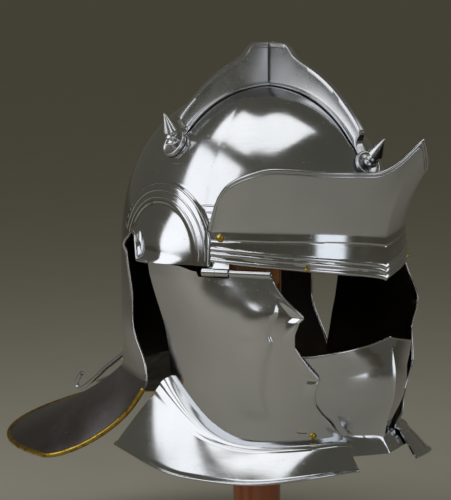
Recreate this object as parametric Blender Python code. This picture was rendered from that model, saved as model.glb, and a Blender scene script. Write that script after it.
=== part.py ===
"""A polished steel helmet with crossed crest bars, a tall peak, hinged cheek guards and a neck guard,
resting on a turned wooden stand. Metres, +Z up, +X towards the wearer's face, +Y to the wearer's left."""
import math

import bmesh
import bpy
from mathutils import Matrix, Vector

# Clearances and sheet
GAP = 0.0003
SHEET = 0.0015

# Stand, turned about the world's vertical axis
STAND_BASE_RADIUS = 0.100
STAND_BASE_HEIGHT = 0.026
STAND_POST_RADIUS = 0.019
STAND_CAP_RADIUS = 0.042
STAND_CAP_DEPTH = 0.030
STAND_SIDES = 22

# Place of the helmet over the stand: its brow level and how far its centre lies ahead of the post
BROW_LEVEL = 0.255
CENTRE_FORWARD = 0.014

# Bowl, measured on its outer face from the brow level
BOWL_FRONT = 0.121
BOWL_BACK = 0.120
BOWL_HALF_WIDTH = 0.104
BOWL_HEIGHT = 0.134
BROW_SQUARENESS = 1.60
NAPE_SQUARENESS = 2.3
CROWN_SQUARENESS = 2.3

# Ear arches and ear openings
EAR_ARCH_CENTRE = -0.012
EAR_ARCH_HALF_WIDTH = 0.050
EAR_ARCH_TOP = 0.064
EAR_RIM_HEIGHT = 0.006
EAR_ARCH_RIDGE = 0.0025
EAR_ARCH_RIDGE_WIDTH = 0.011
EAR_SWELL = 0.006
EAR_OPENING_TOP = 0.025
EAR_OPENING_FRONT_ANGLE = 103.0
SKIRT_EDGE_ANGLE = 118.0
SKIRT_EDGE_HEIGHT = 0.012

# Neck skirt and neck guard
SKIRT_DEPTH = 0.091
SKIRT_FORWARD_SWEEP = 0.020
NECK_GUARD_CORNER_X = -0.032
NECK_GUARD_CORNER_Y = 0.101
NECK_GUARD_WIDEST_X = -0.115
NECK_GUARD_HALF_WIDTH = 0.138
NECK_GUARD_LENGTH = 0.112
NECK_GUARD_SQUARENESS = 2.5
NECK_GUARD_DROP = 0.062
NECK_GUARD_REAR_RISE = 0.0135
NECK_GUARD_SAG = 0.08
BINDING_DEPTH = 0.0033
BINDING_WALL = 0.0010
BINDING_START = 0.25

# Brow band and peak
BAND_END_ANGLE = 68.0
BAND_TOP = 0.0315
BAND_TOP_DIP = 0.004
BAND_BOTTOM_END = 0.0095
BAND_BOTTOM_CENTRE = -0.0045
BAND_BEAD = 0.0014
BAND_BEAD_PITCH = 0.0050
BAND_KEEL = 0.0022
PEAK_TIP_REACH = 0.036
PEAK_TIP_HEIGHT = 0.101
PEAK_RIM_HEIGHT = 0.077
PEAK_SIDE_FLARE = 0.016

# Crest bars
BAR_THICKNESS = 0.0042
BAR_NUB_HEIGHT = 0.033
BAR_SEAT = 0.0006
SIDE_BAR_ANGLE = 103.0
STRAP_WIDTH = 0.0080
STRAP_THICKNESS = 0.0023
DISC_RADIUS = 0.0108
DISC_FLOOR = 0.0027
DISC_THICKNESS = 0.0036
DISC_HEIGHT_FRONT = 0.079
DISC_HEIGHT_SIDE = 0.0910
DISC_HEIGHT_BACK = 0.066
SPIKE_REACH = 0.0235
SPIKE_REACH_SIDE = 0.0195
SPIKE_LEAN = 0.40
SPIKE_LEAN_SIDE = 0.75
SPIKE_CONE_RADIUS = 0.0058
SPIKE_NECK_RADIUS = 0.0034
SPIKE_SIDES = 12

# Cheek guards and their flared collar
CHEEK_DEPTH = 0.121
CHEEK_TOP = 0.0045
CHEEK_CREASE_REAR = 0.086
CREASE_DIP = 0.0050
COLLAR_DEPTH = 0.151
COLLAR_CORNER_RISE = 0.009
COLLAR_FRONT = 0.134
COLLAR_HALF_WIDTH = 0.118
COLLAR_REAR_ANGLE = 117.0
COLLAR_FRONT_ANGLE = 13.3
COLLAR_BEAD = 0.0016

# Hinges of the cheek guards
HINGE_LEVEL = 0.0015
HINGE_REAR = (0.0318, 0.0983)
HINGE_FRONT = (0.0778, 0.0713)
HINGE_BOWL_SHARE = 0.40
KNUCKLE_RADIUS = 0.0031
PIN_RADIUS = 0.0012
HINGE_LEAF_HEIGHT = 0.019
HINGE_LEAF_THICKNESS = 0.0012
LEAF_INSET = 0.0009

# Chin plate
CHIN_LAP_ANGLE = 4.5
CHIN_LAP_ANGLE_FOOT = 1.0
CHIN_LAP_ANGLE_LEFT = 8.0
CHIN_EDGE_MARGIN = 3.4
CHIN_CLEARANCE = 0.0016
CHIN_SEAT = 0.0009
CHIN_COLLAR_CLEARANCE = 0.0012
CHIN_RIDGE_REACH = 0.136
CHIN_TOP = 0.046
CHIN_TOP_SIDE = 0.059
CHIN_BOTTOM = 0.133

# Fastening on the right cheek guard
SLOT_LENGTH = 0.0078
SLOT_HEIGHT = 0.0056
SLOT_ANGLE = 30.0
SLOT_LEVEL = 0.1140
KNOB_RADIUS = 0.0027
KNOB_ANGLE = 25.8
KNOB_LEVEL = 0.1187

# Rivets
PEAK_RIVET_RADIUS = 0.0031
PEAK_RIVET_ANGLE = 64.0
PEAK_RIVET_LEVEL = 0.0275
RIM_RIVET_RADIUS = 0.0020
RIM_RIVET_ANGLE = 28.7

# Carrying hook at the nape
HOOK_RADIUS = 0.0020
HOOK_WIRE_RADIUS = 0.0009

# Leather tabs
LEATHER_THICKNESS = 0.0022
LEATHER_TOP = 0.014
LEATHER_BOTTOM = -0.0085
LEATHER_FRONT_ANGLE = 39.0
LEATHER_BACK_ANGLE = 71.0


def clear_scene():
    """Empties the scene before the model is made."""
    for old in list(bpy.context.scene.objects):
        bpy.data.objects.remove(old, do_unlink=True)


def make_material(name, colour, metallic, roughness):
    """A Principled material with one colour."""
    material = bpy.data.materials.new(name)
    material.use_nodes = True
    shader = material.node_tree.nodes["Principled BSDF"]
    shader.inputs["Base Color"].default_value = (*colour, 1.0)
    shader.inputs["Metallic"].default_value = metallic
    shader.inputs["Roughness"].default_value = roughness
    return material


def add_object(name, bm, material, smooth_angle=35.0):
    """Turns a bmesh into a smooth shaded object."""
    mesh = bpy.data.meshes.new(name)
    bm.to_mesh(mesh)
    bm.free()
    mesh.shade_smooth()
    mesh.set_sharp_from_angle(angle=math.radians(smooth_angle))
    mesh.materials.append(material)
    item = bpy.data.objects.new(name, mesh)
    bpy.context.scene.collection.objects.link(item)
    return item


def add_wall(item, thickness):
    """Gives a sheet its thickness, inwards from its outer face."""
    wall = item.modifiers.new("wall", "SOLIDIFY")
    wall.thickness = thickness
    wall.offset = -1.0
    wall.use_even_offset = False
    return item


def make_guide(item):
    """Marks an object as a cutter or a tool that is not part of the model."""
    item.hide_render = True
    item.display_type = "WIRE"
    return item


def combine(item, other, operation):
    """Joins another solid to an object, or cuts it out."""
    boolean = item.modifiers.new(operation.lower(), "BOOLEAN")
    boolean.operation = operation
    boolean.solver = "EXACT"
    boolean.object = make_guide(other)
    return item


def place(x, y, z):
    """A point of the helmet, given from its centre and brow level, in the world."""
    return Vector((x + CENTRE_FORWARD, y, z + BROW_LEVEL))


def blend(a, b, share):
    """A value between two others."""
    return a + (b - a) * share


def smooth(share):
    """An eased share between 0 and 1."""
    share = min(max(share, 0.0), 1.0)
    return share * share * (3.0 - 2.0 * share)


def read_table(table, share):
    """A value read from rows of (share, value) by straight lines."""
    if share <= table[0][0]:
        return table[0][1]
    for (low, first), (high, second) in zip(table, table[1:]):
        if share <= high:
            return blend(first, second, (share - low) / (high - low))
    return table[-1][1]


def oval_radius(angle, front, back, half_width, squareness_front, squareness_back):
    """The radius of an egg-shaped plan at an angle in degrees from the front."""
    forward = math.cos(math.radians(angle))
    sideways = abs(math.sin(math.radians(angle)))
    length = front if forward > 0.0 else back
    share = min(max(0.5 + 1.6 * forward, 0.0), 1.0)
    power = blend(squareness_back, squareness_front, share)
    return ((abs(forward) / length) ** power + (sideways / half_width) ** power) ** (-1.0 / power)


def bowl_plan(angle):
    """The bowl's radius at the brow."""
    return oval_radius(angle, BOWL_FRONT, BOWL_BACK, BOWL_HALF_WIDTH, BROW_SQUARENESS, NAPE_SQUARENESS)


CROWN_TABLE = (
    # angle from the front, share of the crown's squareness
    (0.0, 1.00), (22.0, 0.93), (45.0, 0.88), (68.0, 0.93), (90.0, 0.96), (110.0, 0.97), (132.0, 1.03),
    (180.0, 1.00),
)


def crown_power(angle):
    """How square the bowl's section is at an angle from the front."""
    return CROWN_SQUARENESS * read_table(CROWN_TABLE, abs(angle))


def bowl_shrink(height, angle):
    """How much of the brow's radius is left at a height over the brow."""
    if height <= 0.0:
        return 1.0
    power = crown_power(angle)
    return max(1.0 - (height / BOWL_HEIGHT) ** power, 0.0) ** (1.0 / power)


def ear_relief(x, height):
    """How far the ear arch stands out of the bowl's side at a place."""
    sideways = (x - EAR_ARCH_CENTRE) / EAR_ARCH_HALF_WIDTH
    upwards = (height - EAR_RIM_HEIGHT) / (EAR_ARCH_TOP - EAR_RIM_HEIGHT)
    reach = (abs(sideways) ** 2.2 + max(upwards, 0.0) ** 2.2) ** (1.0 / 2.2)
    inwards = (1.0 - reach) * EAR_ARCH_HALF_WIDTH
    if inwards <= -0.004:
        return 0.0
    step = EAR_ARCH_RIDGE * smooth((inwards + 0.004) / 0.006)
    fall = EAR_ARCH_RIDGE * 0.6 * smooth((inwards - EAR_ARCH_RIDGE_WIDTH) / 0.008)
    swell = EAR_SWELL * smooth((inwards - EAR_ARCH_RIDGE_WIDTH) / 0.030)
    return step - fall + swell


def bowl_point(angle, height, out=0.0):
    """A point on the bowl's outer face, or beyond it by a distance."""
    radius = bowl_plan(angle) * bowl_shrink(height, angle)
    x = radius * math.cos(math.radians(angle))
    beside_band = smooth((abs(angle) - BAND_END_ANGLE) / 3.0)
    relief = ear_relief(x, height) * beside_band if abs(angle) < 128.0 and height < 0.09 else 0.0
    radius += out + relief
    return place(radius * math.cos(math.radians(angle)), radius * math.sin(math.radians(angle)), height)


def band_bottom(angle):
    """The height of the brow band's lower edge."""
    share = min(abs(angle) / BAND_END_ANGLE, 1.0)
    return blend(BAND_BOTTOM_CENTRE, BAND_BOTTOM_END, share ** 0.6)


def band_top(angle):
    """The height of the brow band's upper edge."""
    return BAND_TOP - BAND_TOP_DIP * max(1.0 - abs(angle) / 30.0, 0.0) ** 2


def bowl_rim(angle):
    """The height of the bowl's lower edge, before the neck skirt."""
    side = abs(angle)
    if side <= BAND_END_ANGLE:
        return band_bottom(angle) + SHEET
    if side < EAR_OPENING_FRONT_ANGLE:
        return EAR_RIM_HEIGHT
    if side < SKIRT_EDGE_ANGLE:
        share = (side - EAR_OPENING_FRONT_ANGLE) / (SKIRT_EDGE_ANGLE - EAR_OPENING_FRONT_ANGLE)
        base = blend(EAR_RIM_HEIGHT, SKIRT_EDGE_HEIGHT, share)
        return base + (EAR_OPENING_TOP - base) * math.sin(math.pi * share) ** 0.55
    return SKIRT_EDGE_HEIGHT


def spread(first, last, count):
    """Evenly spread values, both ends among them."""
    return [blend(first, last, i / (count - 1)) for i in range(count)]


def nape_angles():
    """The columns of the nape on one side, closer together near the skirt's front edge."""
    return [blend(SKIRT_EDGE_ANGLE, 180.0, share ** 1.2) for share in spread(0.0, 1.0, NAPE_COLUMNS)]


def bowl_angles():
    """The bowl's columns: close together at the ears, wide apart in front and behind."""
    front = [angle for angle in reversed(BAND_ANGLES[::2])]
    ear = spread(BAND_END_ANGLE + 2.5, EAR_OPENING_FRONT_ANGLE, 9)
    opening = spread(EAR_OPENING_FRONT_ANGLE, SKIRT_EDGE_ANGLE, 6)[1:]
    back = nape_angles()[1:]
    right_side = front + ear + opening + back
    left_side = [-angle for angle in reversed(right_side[1:-1])]
    return left_side + right_side


def guard_outline(share):
    """The neck guard's edge, from its front corner (0) to the middle of its back (1)."""
    turn = 0.42
    if share < turn:
        back = share / turn
        x = blend(NECK_GUARD_CORNER_X, NECK_GUARD_WIDEST_X, back)
        y = blend(NECK_GUARD_HALF_WIDTH, NECK_GUARD_CORNER_Y, smooth((1.0 - back) / 0.85))
        drop = NECK_GUARD_DROP * math.sin(math.pi / 2.0 * back)
        return x, y, -SKIRT_DEPTH - 0.003 - drop
    angle = math.pi / 2.0 * (share - turn) / (1.0 - turn)
    power = 2.0 / NECK_GUARD_SQUARENESS
    x = NECK_GUARD_WIDEST_X - NECK_GUARD_LENGTH * math.sin(angle) ** power
    y = NECK_GUARD_HALF_WIDTH * max(math.cos(angle), 0.0) ** power
    rise = NECK_GUARD_REAR_RISE * (1.0 - y / NECK_GUARD_HALF_WIDTH)
    return x, y, -SKIRT_DEPTH - 0.003 - NECK_GUARD_DROP + rise


def skirt_point(angle, share):
    """A point of the neck skirt, from the ear opening's level (0) to its foot (1)."""
    height = blend(SKIRT_EDGE_HEIGHT, -SKIRT_DEPTH, share)
    side = abs(angle)
    sweep = SKIRT_FORWARD_SWEEP * smooth((share - 0.55) / 0.45) * smooth((150.0 - side) / 32.0)
    radius = bowl_plan(angle) + 0.002 * smooth((share - 0.8) / 0.2)
    x = radius * math.cos(math.radians(angle)) + sweep
    y = radius * math.sin(math.radians(angle))
    return place(x, y, height)


def guard_share(angle):
    """How far along the neck guard's edge a column of the nape ends."""
    return (abs(angle) - SKIRT_EDGE_ANGLE) / (180.0 - SKIRT_EDGE_ANGLE)


def guard_point(angle, share):
    """A point of the neck guard, from the skirt's foot (0) to its edge (1)."""
    foot = skirt_point(angle, 1.0)
    x, y, z = guard_outline(guard_share(angle))
    edge = place(x, math.copysign(y, angle), z)
    if abs(angle) > 179.9:
        edge.y = 0.0
    point = foot.lerp(edge, share)
    point.z -= (foot.z - edge.z) * NECK_GUARD_SAG * math.sin(math.pi * share)
    return point


BAND_ANGLES = (68.0, 65.5, 60.0, 53.0, 44.5, 35.5, 26.5, 18.5, 11.5, 5.5, 0.0)
CROWN_SHARES = (0.985, 0.940, 0.870, 0.780, 0.680, 0.580, 0.490)
LOWER_SHARES = (0.17, 0.34, 0.50, 0.66, 0.83, 1.0)
SKIRT_SHARES = (0.3, 0.6, 0.85, 1.0)
GUARD_SHARES = (0.10, 0.45, 0.78, 1.0)
NAPE_COLUMNS = 11


def build_bowl(material):
    """The bowl with its ear arches, neck skirt and neck guard, raised from one sheet."""
    bm = bmesh.new()
    angles = bowl_angles()
    count = len(angles)
    apex = bm.verts.new(place(0.0, 0.0, BOWL_HEIGHT))
    rows = [[bm.verts.new(bowl_point(a, BOWL_HEIGHT * s)) for a in angles] for s in CROWN_SHARES]
    start = BOWL_HEIGHT * CROWN_SHARES[-1]
    for share in LOWER_SHARES:
        rows.append([bm.verts.new(bowl_point(a, blend(start, bowl_rim(a), share))) for a in angles])
    for i in range(count):
        bm.faces.new((apex, rows[0][i], rows[0][(i + 1) % count]))
    for upper, lower in zip(rows, rows[1:]):
        for i in range(count):
            j = (i + 1) % count
            bm.faces.new((upper[i], lower[i], lower[j], upper[j]))
    nape = [i for i in range(count) if abs(angles[i]) >= SKIRT_EDGE_ANGLE - 0.01]
    order = sorted(nape, key=lambda i: angles[i] % 360.0)
    above = [rows[-1][i] for i in order]
    for share in SKIRT_SHARES:
        below = [bm.verts.new(skirt_point(angles[i], share)) for i in order]
        add_strip(bm, above, below)
        above = below
    for share in GUARD_SHARES:
        below = [bm.verts.new(guard_point(angles[i], share)) for i in order]
        add_strip(bm, above, below)
        above = below
    return add_wall(add_object("bowl", bm, material, 50.0), SHEET)


def add_strip(bm, above, below):
    """Faces between two open rows that run the same way as the bowl's columns."""
    for (a, b), (c, d) in zip(zip(above, above[1:]), zip(below, below[1:])):
        bm.faces.new((a, c, d, b))


def build_sheet(name, rows, material, angle=50.0, thickness=SHEET):
    """A sheet through rows of points, top to bottom, each row turning to the left seen from above."""
    bm = bmesh.new()
    made = [[bm.verts.new(point) for point in row] for row in rows]
    for above, below in zip(made, made[1:]):
        add_strip(bm, above, below)
    return add_wall(add_object(name, bm, material, angle), thickness)


def sweep_profile(name, frames, profile, material):
    """A closed solid that carries a profile along frames of (origin, across, up)."""
    bm = bmesh.new()
    rings = []
    for origin, across, up in frames:
        rings.append([bm.verts.new(origin + across * u + up * v) for u, v in profile])
    for first, second in zip(rings, rings[1:]):
        for i in range(len(profile)):
            j = (i + 1) % len(profile)
            bm.faces.new((first[i], first[j], second[j], second[i]))
    bm.faces.new(list(reversed(rings[0])))
    bm.faces.new(rings[-1])
    bmesh.ops.recalc_face_normals(bm, faces=bm.faces)
    return add_object(name, bm, material)


def build_binding(material):
    """The brass channel that wraps the neck guard's edge."""
    angles = nape_angles()
    angles += [-a for a in reversed(angles[:-1])]
    edges = [guard_point(a, 1.0) for a in angles]
    inner = [guard_point(a, GUARD_SHARES[-2]) for a in angles]
    for line in (edges, inner):
        line[0] = line[0].lerp(line[1], BINDING_START)
        line[-1] = line[-1].lerp(line[-2], BINDING_START)
    faces = []
    for i in range(len(angles) - 1):
        faces.append((edges[i + 1] - inner[i]).cross(edges[i] - inner[i + 1]).normalized())
    frames = []
    for i, (edge, inside) in enumerate(zip(edges, inner)):
        tangent = (edges[min(i + 1, len(edges) - 1)] - edges[max(i - 1, 0)]).normalized()
        up = faces[max(i - 1, 0)] + faces[min(i, len(faces) - 1)]
        up = (up - tangent * up.dot(tangent)).normalized()
        if up.z < 0.0:
            up = -up
        across = up.cross(tangent)
        if across.dot(inside - edge) < 0.0:
            across = -across
        frames.append((edge - up * SHEET / 2.0, across, up))
    slot = SHEET / 2.0 + 4.0 * GAP
    outer = slot + BINDING_WALL
    back = -2.0 * GAP
    profile = [
        (BINDING_DEPTH, slot), (back, slot), (back, -slot), (BINDING_DEPTH, -slot),
        (BINDING_DEPTH, -outer), (back, -outer), (back - BINDING_WALL, -slot * 0.6),
        (back - BINDING_WALL, slot * 0.6), (back, outer), (BINDING_DEPTH, outer),
    ]
    return sweep_profile("neck_guard_binding", frames, profile, material)


PEAK_FLARE_TABLE = (
    # share of the way round to the band's end, share of the tip's extra reach
    (0.00, 1.00), (0.04, 0.86), (0.09, 0.66), (0.16, 0.42), (0.26, 0.18), (0.40, 0.05), (0.60, 0.0),
    (1.00, 0.0),
)
PEAK_SIDE_TABLE = (
    # share of the way round, share of the side's flare
    (0.00, 1.00), (0.72, 1.00), (0.84, 0.80), (0.92, 0.52), (0.97, 0.30), (1.00, 0.16),
)
PEAK_RISE_TABLE = (
    # share of the way round, share of the tip's extra height
    (0.00, 1.00), (0.03, 0.76), (0.07, 0.40), (0.12, 0.10), (0.17, 0.0), (1.00, 0.0),
)
PEAK_HEIGHT_TABLE = (
    # share of the way round, share of the rim's height over the band
    (0.00, 1.00), (0.35, 1.02), (0.52, 1.06), (0.64, 1.06), (0.74, 0.98), (0.82, 0.87),
    (0.88, 0.74), (0.94, 0.50), (0.98, 0.20), (1.00, 0.02),
)


def peak_rim(angle):
    """How far the peak's rim stands out of the bowl's plan, and its height."""
    share = abs(angle) / BAND_END_ANGLE
    side = PEAK_SIDE_FLARE * read_table(PEAK_SIDE_TABLE, share)
    flare = side + (PEAK_TIP_REACH - PEAK_SIDE_FLARE) * read_table(PEAK_FLARE_TABLE, share)
    height = (PEAK_RIM_HEIGHT - BAND_TOP) * read_table(PEAK_HEIGHT_TABLE, share) + BAND_TOP
    height += (PEAK_TIP_HEIGHT - PEAK_RIM_HEIGHT) * read_table(PEAK_RISE_TABLE, share)
    return flare, height


def band_keel(angle):
    """How far the band's middle stands forward in a blunt keel."""
    return BAND_KEEL * smooth(1.0 - abs(angle) / 9.0)


def band_point(angle, height, out=0.0):
    """A point on the brow band's outer face."""
    radius = bowl_plan(angle) * bowl_shrink(height, angle) ** 0.25 + GAP + SHEET + band_keel(angle) + out
    return place(radius * math.cos(math.radians(angle)), radius * math.sin(math.radians(angle)), height)


def peak_point(angle, share):
    """A point of the peak, from the band's upper edge (0) to the rim (1)."""
    start = band_point(angle, band_top(angle))
    flare, height = peak_rim(angle)
    radius = bowl_plan(angle) + GAP + SHEET + flare + band_keel(angle)
    end = place(radius * math.cos(math.radians(angle)), radius * math.sin(math.radians(angle)), height)
    lean = share ** 1.35
    point = start.lerp(end, lean)
    point.z = blend(start.z, end.z, share)
    return point


def build_peak(material):
    """The brow band with its two beads and the tall peak above it, one sheet."""
    angles = [-a for a in BAND_ANGLES] + [a for a in reversed(BAND_ANGLES[:-1])]
    rows = []
    for share in (1.0, 0.96, 0.80, 0.52, 0.24):
        rows.append([peak_point(a, share) for a in angles])
    rows.append([band_point(a, band_top(a)) for a in angles])
    for rise, out in ((4.2, 0.0), (3.4, 0.0), (2.9, 1.0), (2.3, 0.15), (1.75, 1.0), (1.1, 0.1), (0.0, 0.35)):
        pitch = rise * BAND_BEAD_PITCH * 0.8
        rows.append([band_point(a, band_bottom(a) + pitch, out * BAND_BEAD) for a in angles])
    return build_sheet("brow_peak", rows, material)


BAR_HEIGHT_TABLE = (
    # reach along the bar, height over the bowl as a share of the nub's
    (0.00, 1.00), (0.17, 0.97), (0.235, 0.74), (0.32, 0.65), (0.45, 0.57), (0.58, 0.49), (0.70, 0.41),
    (0.80, 0.37), (0.88, 0.33),
)
BAR_STRAP = (
    # share of the way to the disc, height and width between the strap's (0, 1) and the bar's (1, 0)
    (0.18, 0.60, 0.25), (0.36, 0.16, 0.80), (0.62, 0.0, 1.0), (1.0, 0.0, 1.0),
)
BAR_REACHES = (0.0, 0.10, 0.17, 0.235, 0.30, 0.40, 0.50, 0.59, 0.66, 0.73, 0.79, 0.84)


def dome_point(angle, reach):
    """A point of the bowl's plain face at a distance from the crown's axis."""
    share = min(reach / bowl_plan(angle), 0.9999)
    power = crown_power(angle)
    height = BOWL_HEIGHT * (1.0 - share ** power) ** (1.0 / power)
    turn = math.radians(angle)
    return place(reach * math.cos(turn), reach * math.sin(turn), height)


def meridian(angle, reach):
    """A point of the bowl's face at a distance from the crown's axis, and the face's normal there."""
    foot = dome_point(angle, reach)
    if reach < 0.002:
        return foot, Vector((0.0, 0.0, 1.0))
    outwards = dome_point(angle, reach + 0.0005) - dome_point(angle, reach - 0.0005)
    around = dome_point(angle + 0.5, reach) - dome_point(angle - 0.5, reach)
    return foot, outwards.cross(around).normalized()


def reach_at(angle, height):
    """The distance from the crown's axis to the bowl's face at a height."""
    return bowl_plan(angle) * bowl_shrink(height, angle)


def bar_sections(angle, first):
    """The sections of one crest bar: centre of the foot, way up, way across, width and height."""
    end = reach_at(angle, disc_level(angle))
    turn = math.radians(angle)
    across = Vector((-math.sin(turn), math.cos(turn), 0.0))
    sections = []
    for reach in BAR_REACHES:
        foot, normal = meridian(angle, max(reach * end / 0.96, first))
        upright = (normal - across * normal.dot(across)).normalized()
        height = read_table(BAR_HEIGHT_TABLE, reach) * BAR_NUB_HEIGHT
        sections.append((foot, upright, across, BAR_THICKNESS, height))
    start = BAR_REACHES[-1] / 0.96
    for share, height, width in BAR_STRAP:
        foot, normal = meridian(angle, end * blend(start, 1.0, share))
        level = (across - normal * across.dot(normal)).normalized()
        sections.append((foot, normal, level, blend(BAR_THICKNESS, STRAP_WIDTH, width),
                         blend(STRAP_THICKNESS, BAR_NUB_HEIGHT * 0.34, height)))
    return sections


def disc_level(angle):
    """The height of a crest bar's end disc over the brow."""
    levels = ((0.0, DISC_HEIGHT_FRONT), (SIDE_BAR_ANGLE, DISC_HEIGHT_SIDE), (180.0, DISC_HEIGHT_BACK))
    return read_table(levels, abs(angle))


def add_bar(bm, angle, first):
    """The rings of one crest bar, foot left, foot right, crown right, crown left."""
    rings = []
    for foot, normal, across, width, height in bar_sections(angle, first):
        low = foot + normal * BAR_SEAT
        crown = foot + normal * height
        bevel = min(width * 0.30, (height - BAR_SEAT) * 0.45)
        rings.append([bm.verts.new(point) for point in (
            low - across * width / 2.0, low + across * width / 2.0,
            crown - normal * bevel + across * width / 2.0, crown + across * (width / 2.0 - bevel),
            crown - across * (width / 2.0 - bevel), crown - normal * bevel - across * width / 2.0)])
    for ring, following in zip(rings, rings[1:]):
        join_rings(bm, ring, following)
    bm.faces.new(rings[-1])
    return rings[0]


def join_rings(bm, ring, following):
    """Faces between two closed rings."""
    count = len(ring)
    for i in range(count):
        j = (i + 1) % count
        bm.faces.new((ring[i], ring[j], following[j], following[i]))


def disc_frame(angle):
    """The foot of a crest bar's end disc and the way it faces."""
    foot, normal = meridian(angle, reach_at(angle, disc_level(angle)))
    return foot, normal


def add_circle(bm, radius, along, sides):
    """The points of a circle about the Z axis."""
    turns = [2.0 * math.pi * i / sides for i in range(sides)]
    return [bm.verts.new((radius * math.cos(t), radius * math.sin(t), along)) for t in turns]


def turned(name, profile, sides, material, origin, direction, smooth_angle=35.0):
    """A solid turned about an axis: profile rows are (radius, distance along the axis)."""
    bm = bmesh.new()
    rings = []
    for radius, along in profile:
        if radius < 1e-6:
            rings.append([bm.verts.new((0.0, 0.0, along))])
        else:
            rings.append(add_circle(bm, radius, along, sides))
    for first, second in zip(rings, rings[1:]):
        if len(first) > 1 and len(second) > 1:
            join_rings(bm, first, second)
        elif len(second) == 1:
            for i in range(sides):
                bm.faces.new((first[i], first[(i + 1) % sides], second[0]))
        else:
            for i in range(sides):
                bm.faces.new((first[0], second[(i + 1) % sides], second[i]))
    for ring in (rings[0], rings[-1]):
        if len(ring) > 1:
            bm.faces.new(ring)
    turn = direction.to_track_quat("Z", "Y").to_matrix().to_4x4()
    bmesh.ops.transform(bm, matrix=Matrix.Translation(origin) @ turn, verts=bm.verts)
    bmesh.ops.recalc_face_normals(bm, faces=bm.faces)
    return add_object(name, bm, material, smooth_angle)


def build_bar(name, angle, material, other=None):
    """A crest bar with its end disc; the long bar runs from front to back."""
    bm = bmesh.new()
    if other is None:
        first = add_bar(bm, angle, BAR_THICKNESS * 0.63 + GAP)
        bm.faces.new(list(reversed(first)))
    else:
        first = add_bar(bm, angle, 0.0)
        second = add_bar(bm, other, 0.0)
        bmesh.ops.weld_verts(bm, targetmap=pair_rings(first, second))
    bmesh.ops.recalc_face_normals(bm, faces=bm.faces)
    bar = add_object(name, bm, material)
    for end in (angle,) if other is None else (angle, other):
        foot, normal = disc_frame(end)
        profile = ((DISC_RADIUS, GAP), (DISC_RADIUS, DISC_THICKNESS), (DISC_RADIUS * 0.82, DISC_THICKNESS),
                   (DISC_RADIUS * 0.76, DISC_FLOOR))
        disc = turned(name + "_disc", profile, 20, material, foot, normal)
        combine(bar, disc, "UNION")
    return bar


def pair_rings(first, second):
    """Matches each point of one ring with the point of the other that lies at the same place."""
    return {vert: min(second, key=lambda other: (other.co - vert.co).length) for vert in first}


SPIKE_NECK_TABLE = (
    # radius as a share of the neck's, height as a share of the spike's reach
    (1.05, 0.0), (1.55, 0.04), (1.55, 0.10), (1.0, 0.15), (1.45, 0.21), (1.45, 0.27), (1.0, 0.33),
)
SPIKE_CONE_START = 0.42


def build_spike(name, angle, material):
    """A spike on a ringed neck, standing on a crest bar's end disc."""
    foot, normal = disc_frame(angle)
    start = DISC_FLOOR + GAP
    at_side = 0.0 < abs(angle) < 180.0
    reach = SPIKE_REACH_SIDE if at_side else SPIKE_REACH
    lean = SPIKE_LEAN_SIDE if at_side else SPIKE_LEAN
    profile = [(radius * SPIKE_NECK_RADIUS, start + share * reach) for radius, share in SPIKE_NECK_TABLE]
    profile += [(SPIKE_CONE_RADIUS, start + SPIKE_CONE_START * reach)]
    profile += [(SPIKE_CONE_RADIUS * 0.50, start + blend(SPIKE_CONE_START, 1.0, 0.52) * reach)]
    profile += [(0.0, start + reach)]
    spike = turned(name, profile, SPIKE_SIDES, material, foot, normal)
    upwards = (Vector((0.0, 0.0, 1.0)) - normal * normal.z).normalized()
    for vert in spike.data.vertices:
        along = (vert.co - foot).dot(normal) - start
        vert.co += upwards * along * lean
    return spike


CHEEK_PLAN_TABLE = (
    # share of the cheek's depth, front reach, half width, squareness
    (0.00, 0.1222, 0.1052, 1.65),
    (0.24, 0.1270, 0.1000, 1.90),
    (0.62, 0.1240, 0.0905, 2.00),
    (1.00, 0.1170, 0.0850, 2.00),
)
CHEEK_FRONT_TABLE = (
    # share of the cheek's depth, angle of the front edge
    (0.000, 42.0), (0.060, 41.0), (0.240, 31.2), (0.350, 34.0), (0.440, 33.3), (0.540, 28.5),
    (0.620, 24.6), (0.710, 25.4), (0.800, 23.8), (0.910, 18.5), (1.000, 14.3),
)
CHEEK_REAR_TABLE = (
    # share of the cheek's depth, angle of the rear edge
    (0.00, 103.0), (0.16, 102.4), (0.34, 101.6), (0.52, 101.2), (0.80, 102.2), (1.00, 103.5),
)
CHEEK_ROWS = (0.0, 0.06, 0.24, 0.35, 0.44, 0.54, 0.62, 0.71, 0.80, 0.91, 1.0)
CHEEK_COLUMNS = 11
COLLAR_ROWS = (0.10, 0.20, 0.60, 1.0)


def hinge_line():
    """The hinge's middle points at its rear and front ends, on the left side."""
    rear = place(HINGE_REAR[0], HINGE_REAR[1], HINGE_LEVEL)
    front = place(HINGE_FRONT[0], HINGE_FRONT[1], HINGE_LEVEL)
    return rear, front


def angle_of(point):
    """The angle of a world point about the bowl's axis."""
    return math.degrees(math.atan2(point.y, point.x - CENTRE_FORWARD))


def cheek_top(angle):
    """The height of the cheek guard's upper edge at an angle."""
    rear, front = hinge_line()
    split = rear.lerp(front, HINGE_BOWL_SHARE)
    if angle <= angle_of(split) - 0.6:
        return HINGE_LEVEL - (KNUCKLE_RADIUS + PIN_RADIUS) * 0.48
    if angle <= angle_of(rear) + 2.0:
        return HINGE_LEVEL - KNUCKLE_RADIUS - 2.0 * GAP
    return blend(HINGE_LEVEL, CHEEK_TOP, smooth((angle - angle_of(rear) - 2.0) / 10.0))


def cheek_plan(share):
    """The cheek guard's plan at a share of its depth."""
    for low, high in zip(CHEEK_PLAN_TABLE, CHEEK_PLAN_TABLE[1:]):
        if share <= high[0]:
            part = (share - low[0]) / (high[0] - low[0])
            return [blend(a, b, part) for a, b in zip(low[1:], high[1:])]
    return CHEEK_PLAN_TABLE[-1][1:]


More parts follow.
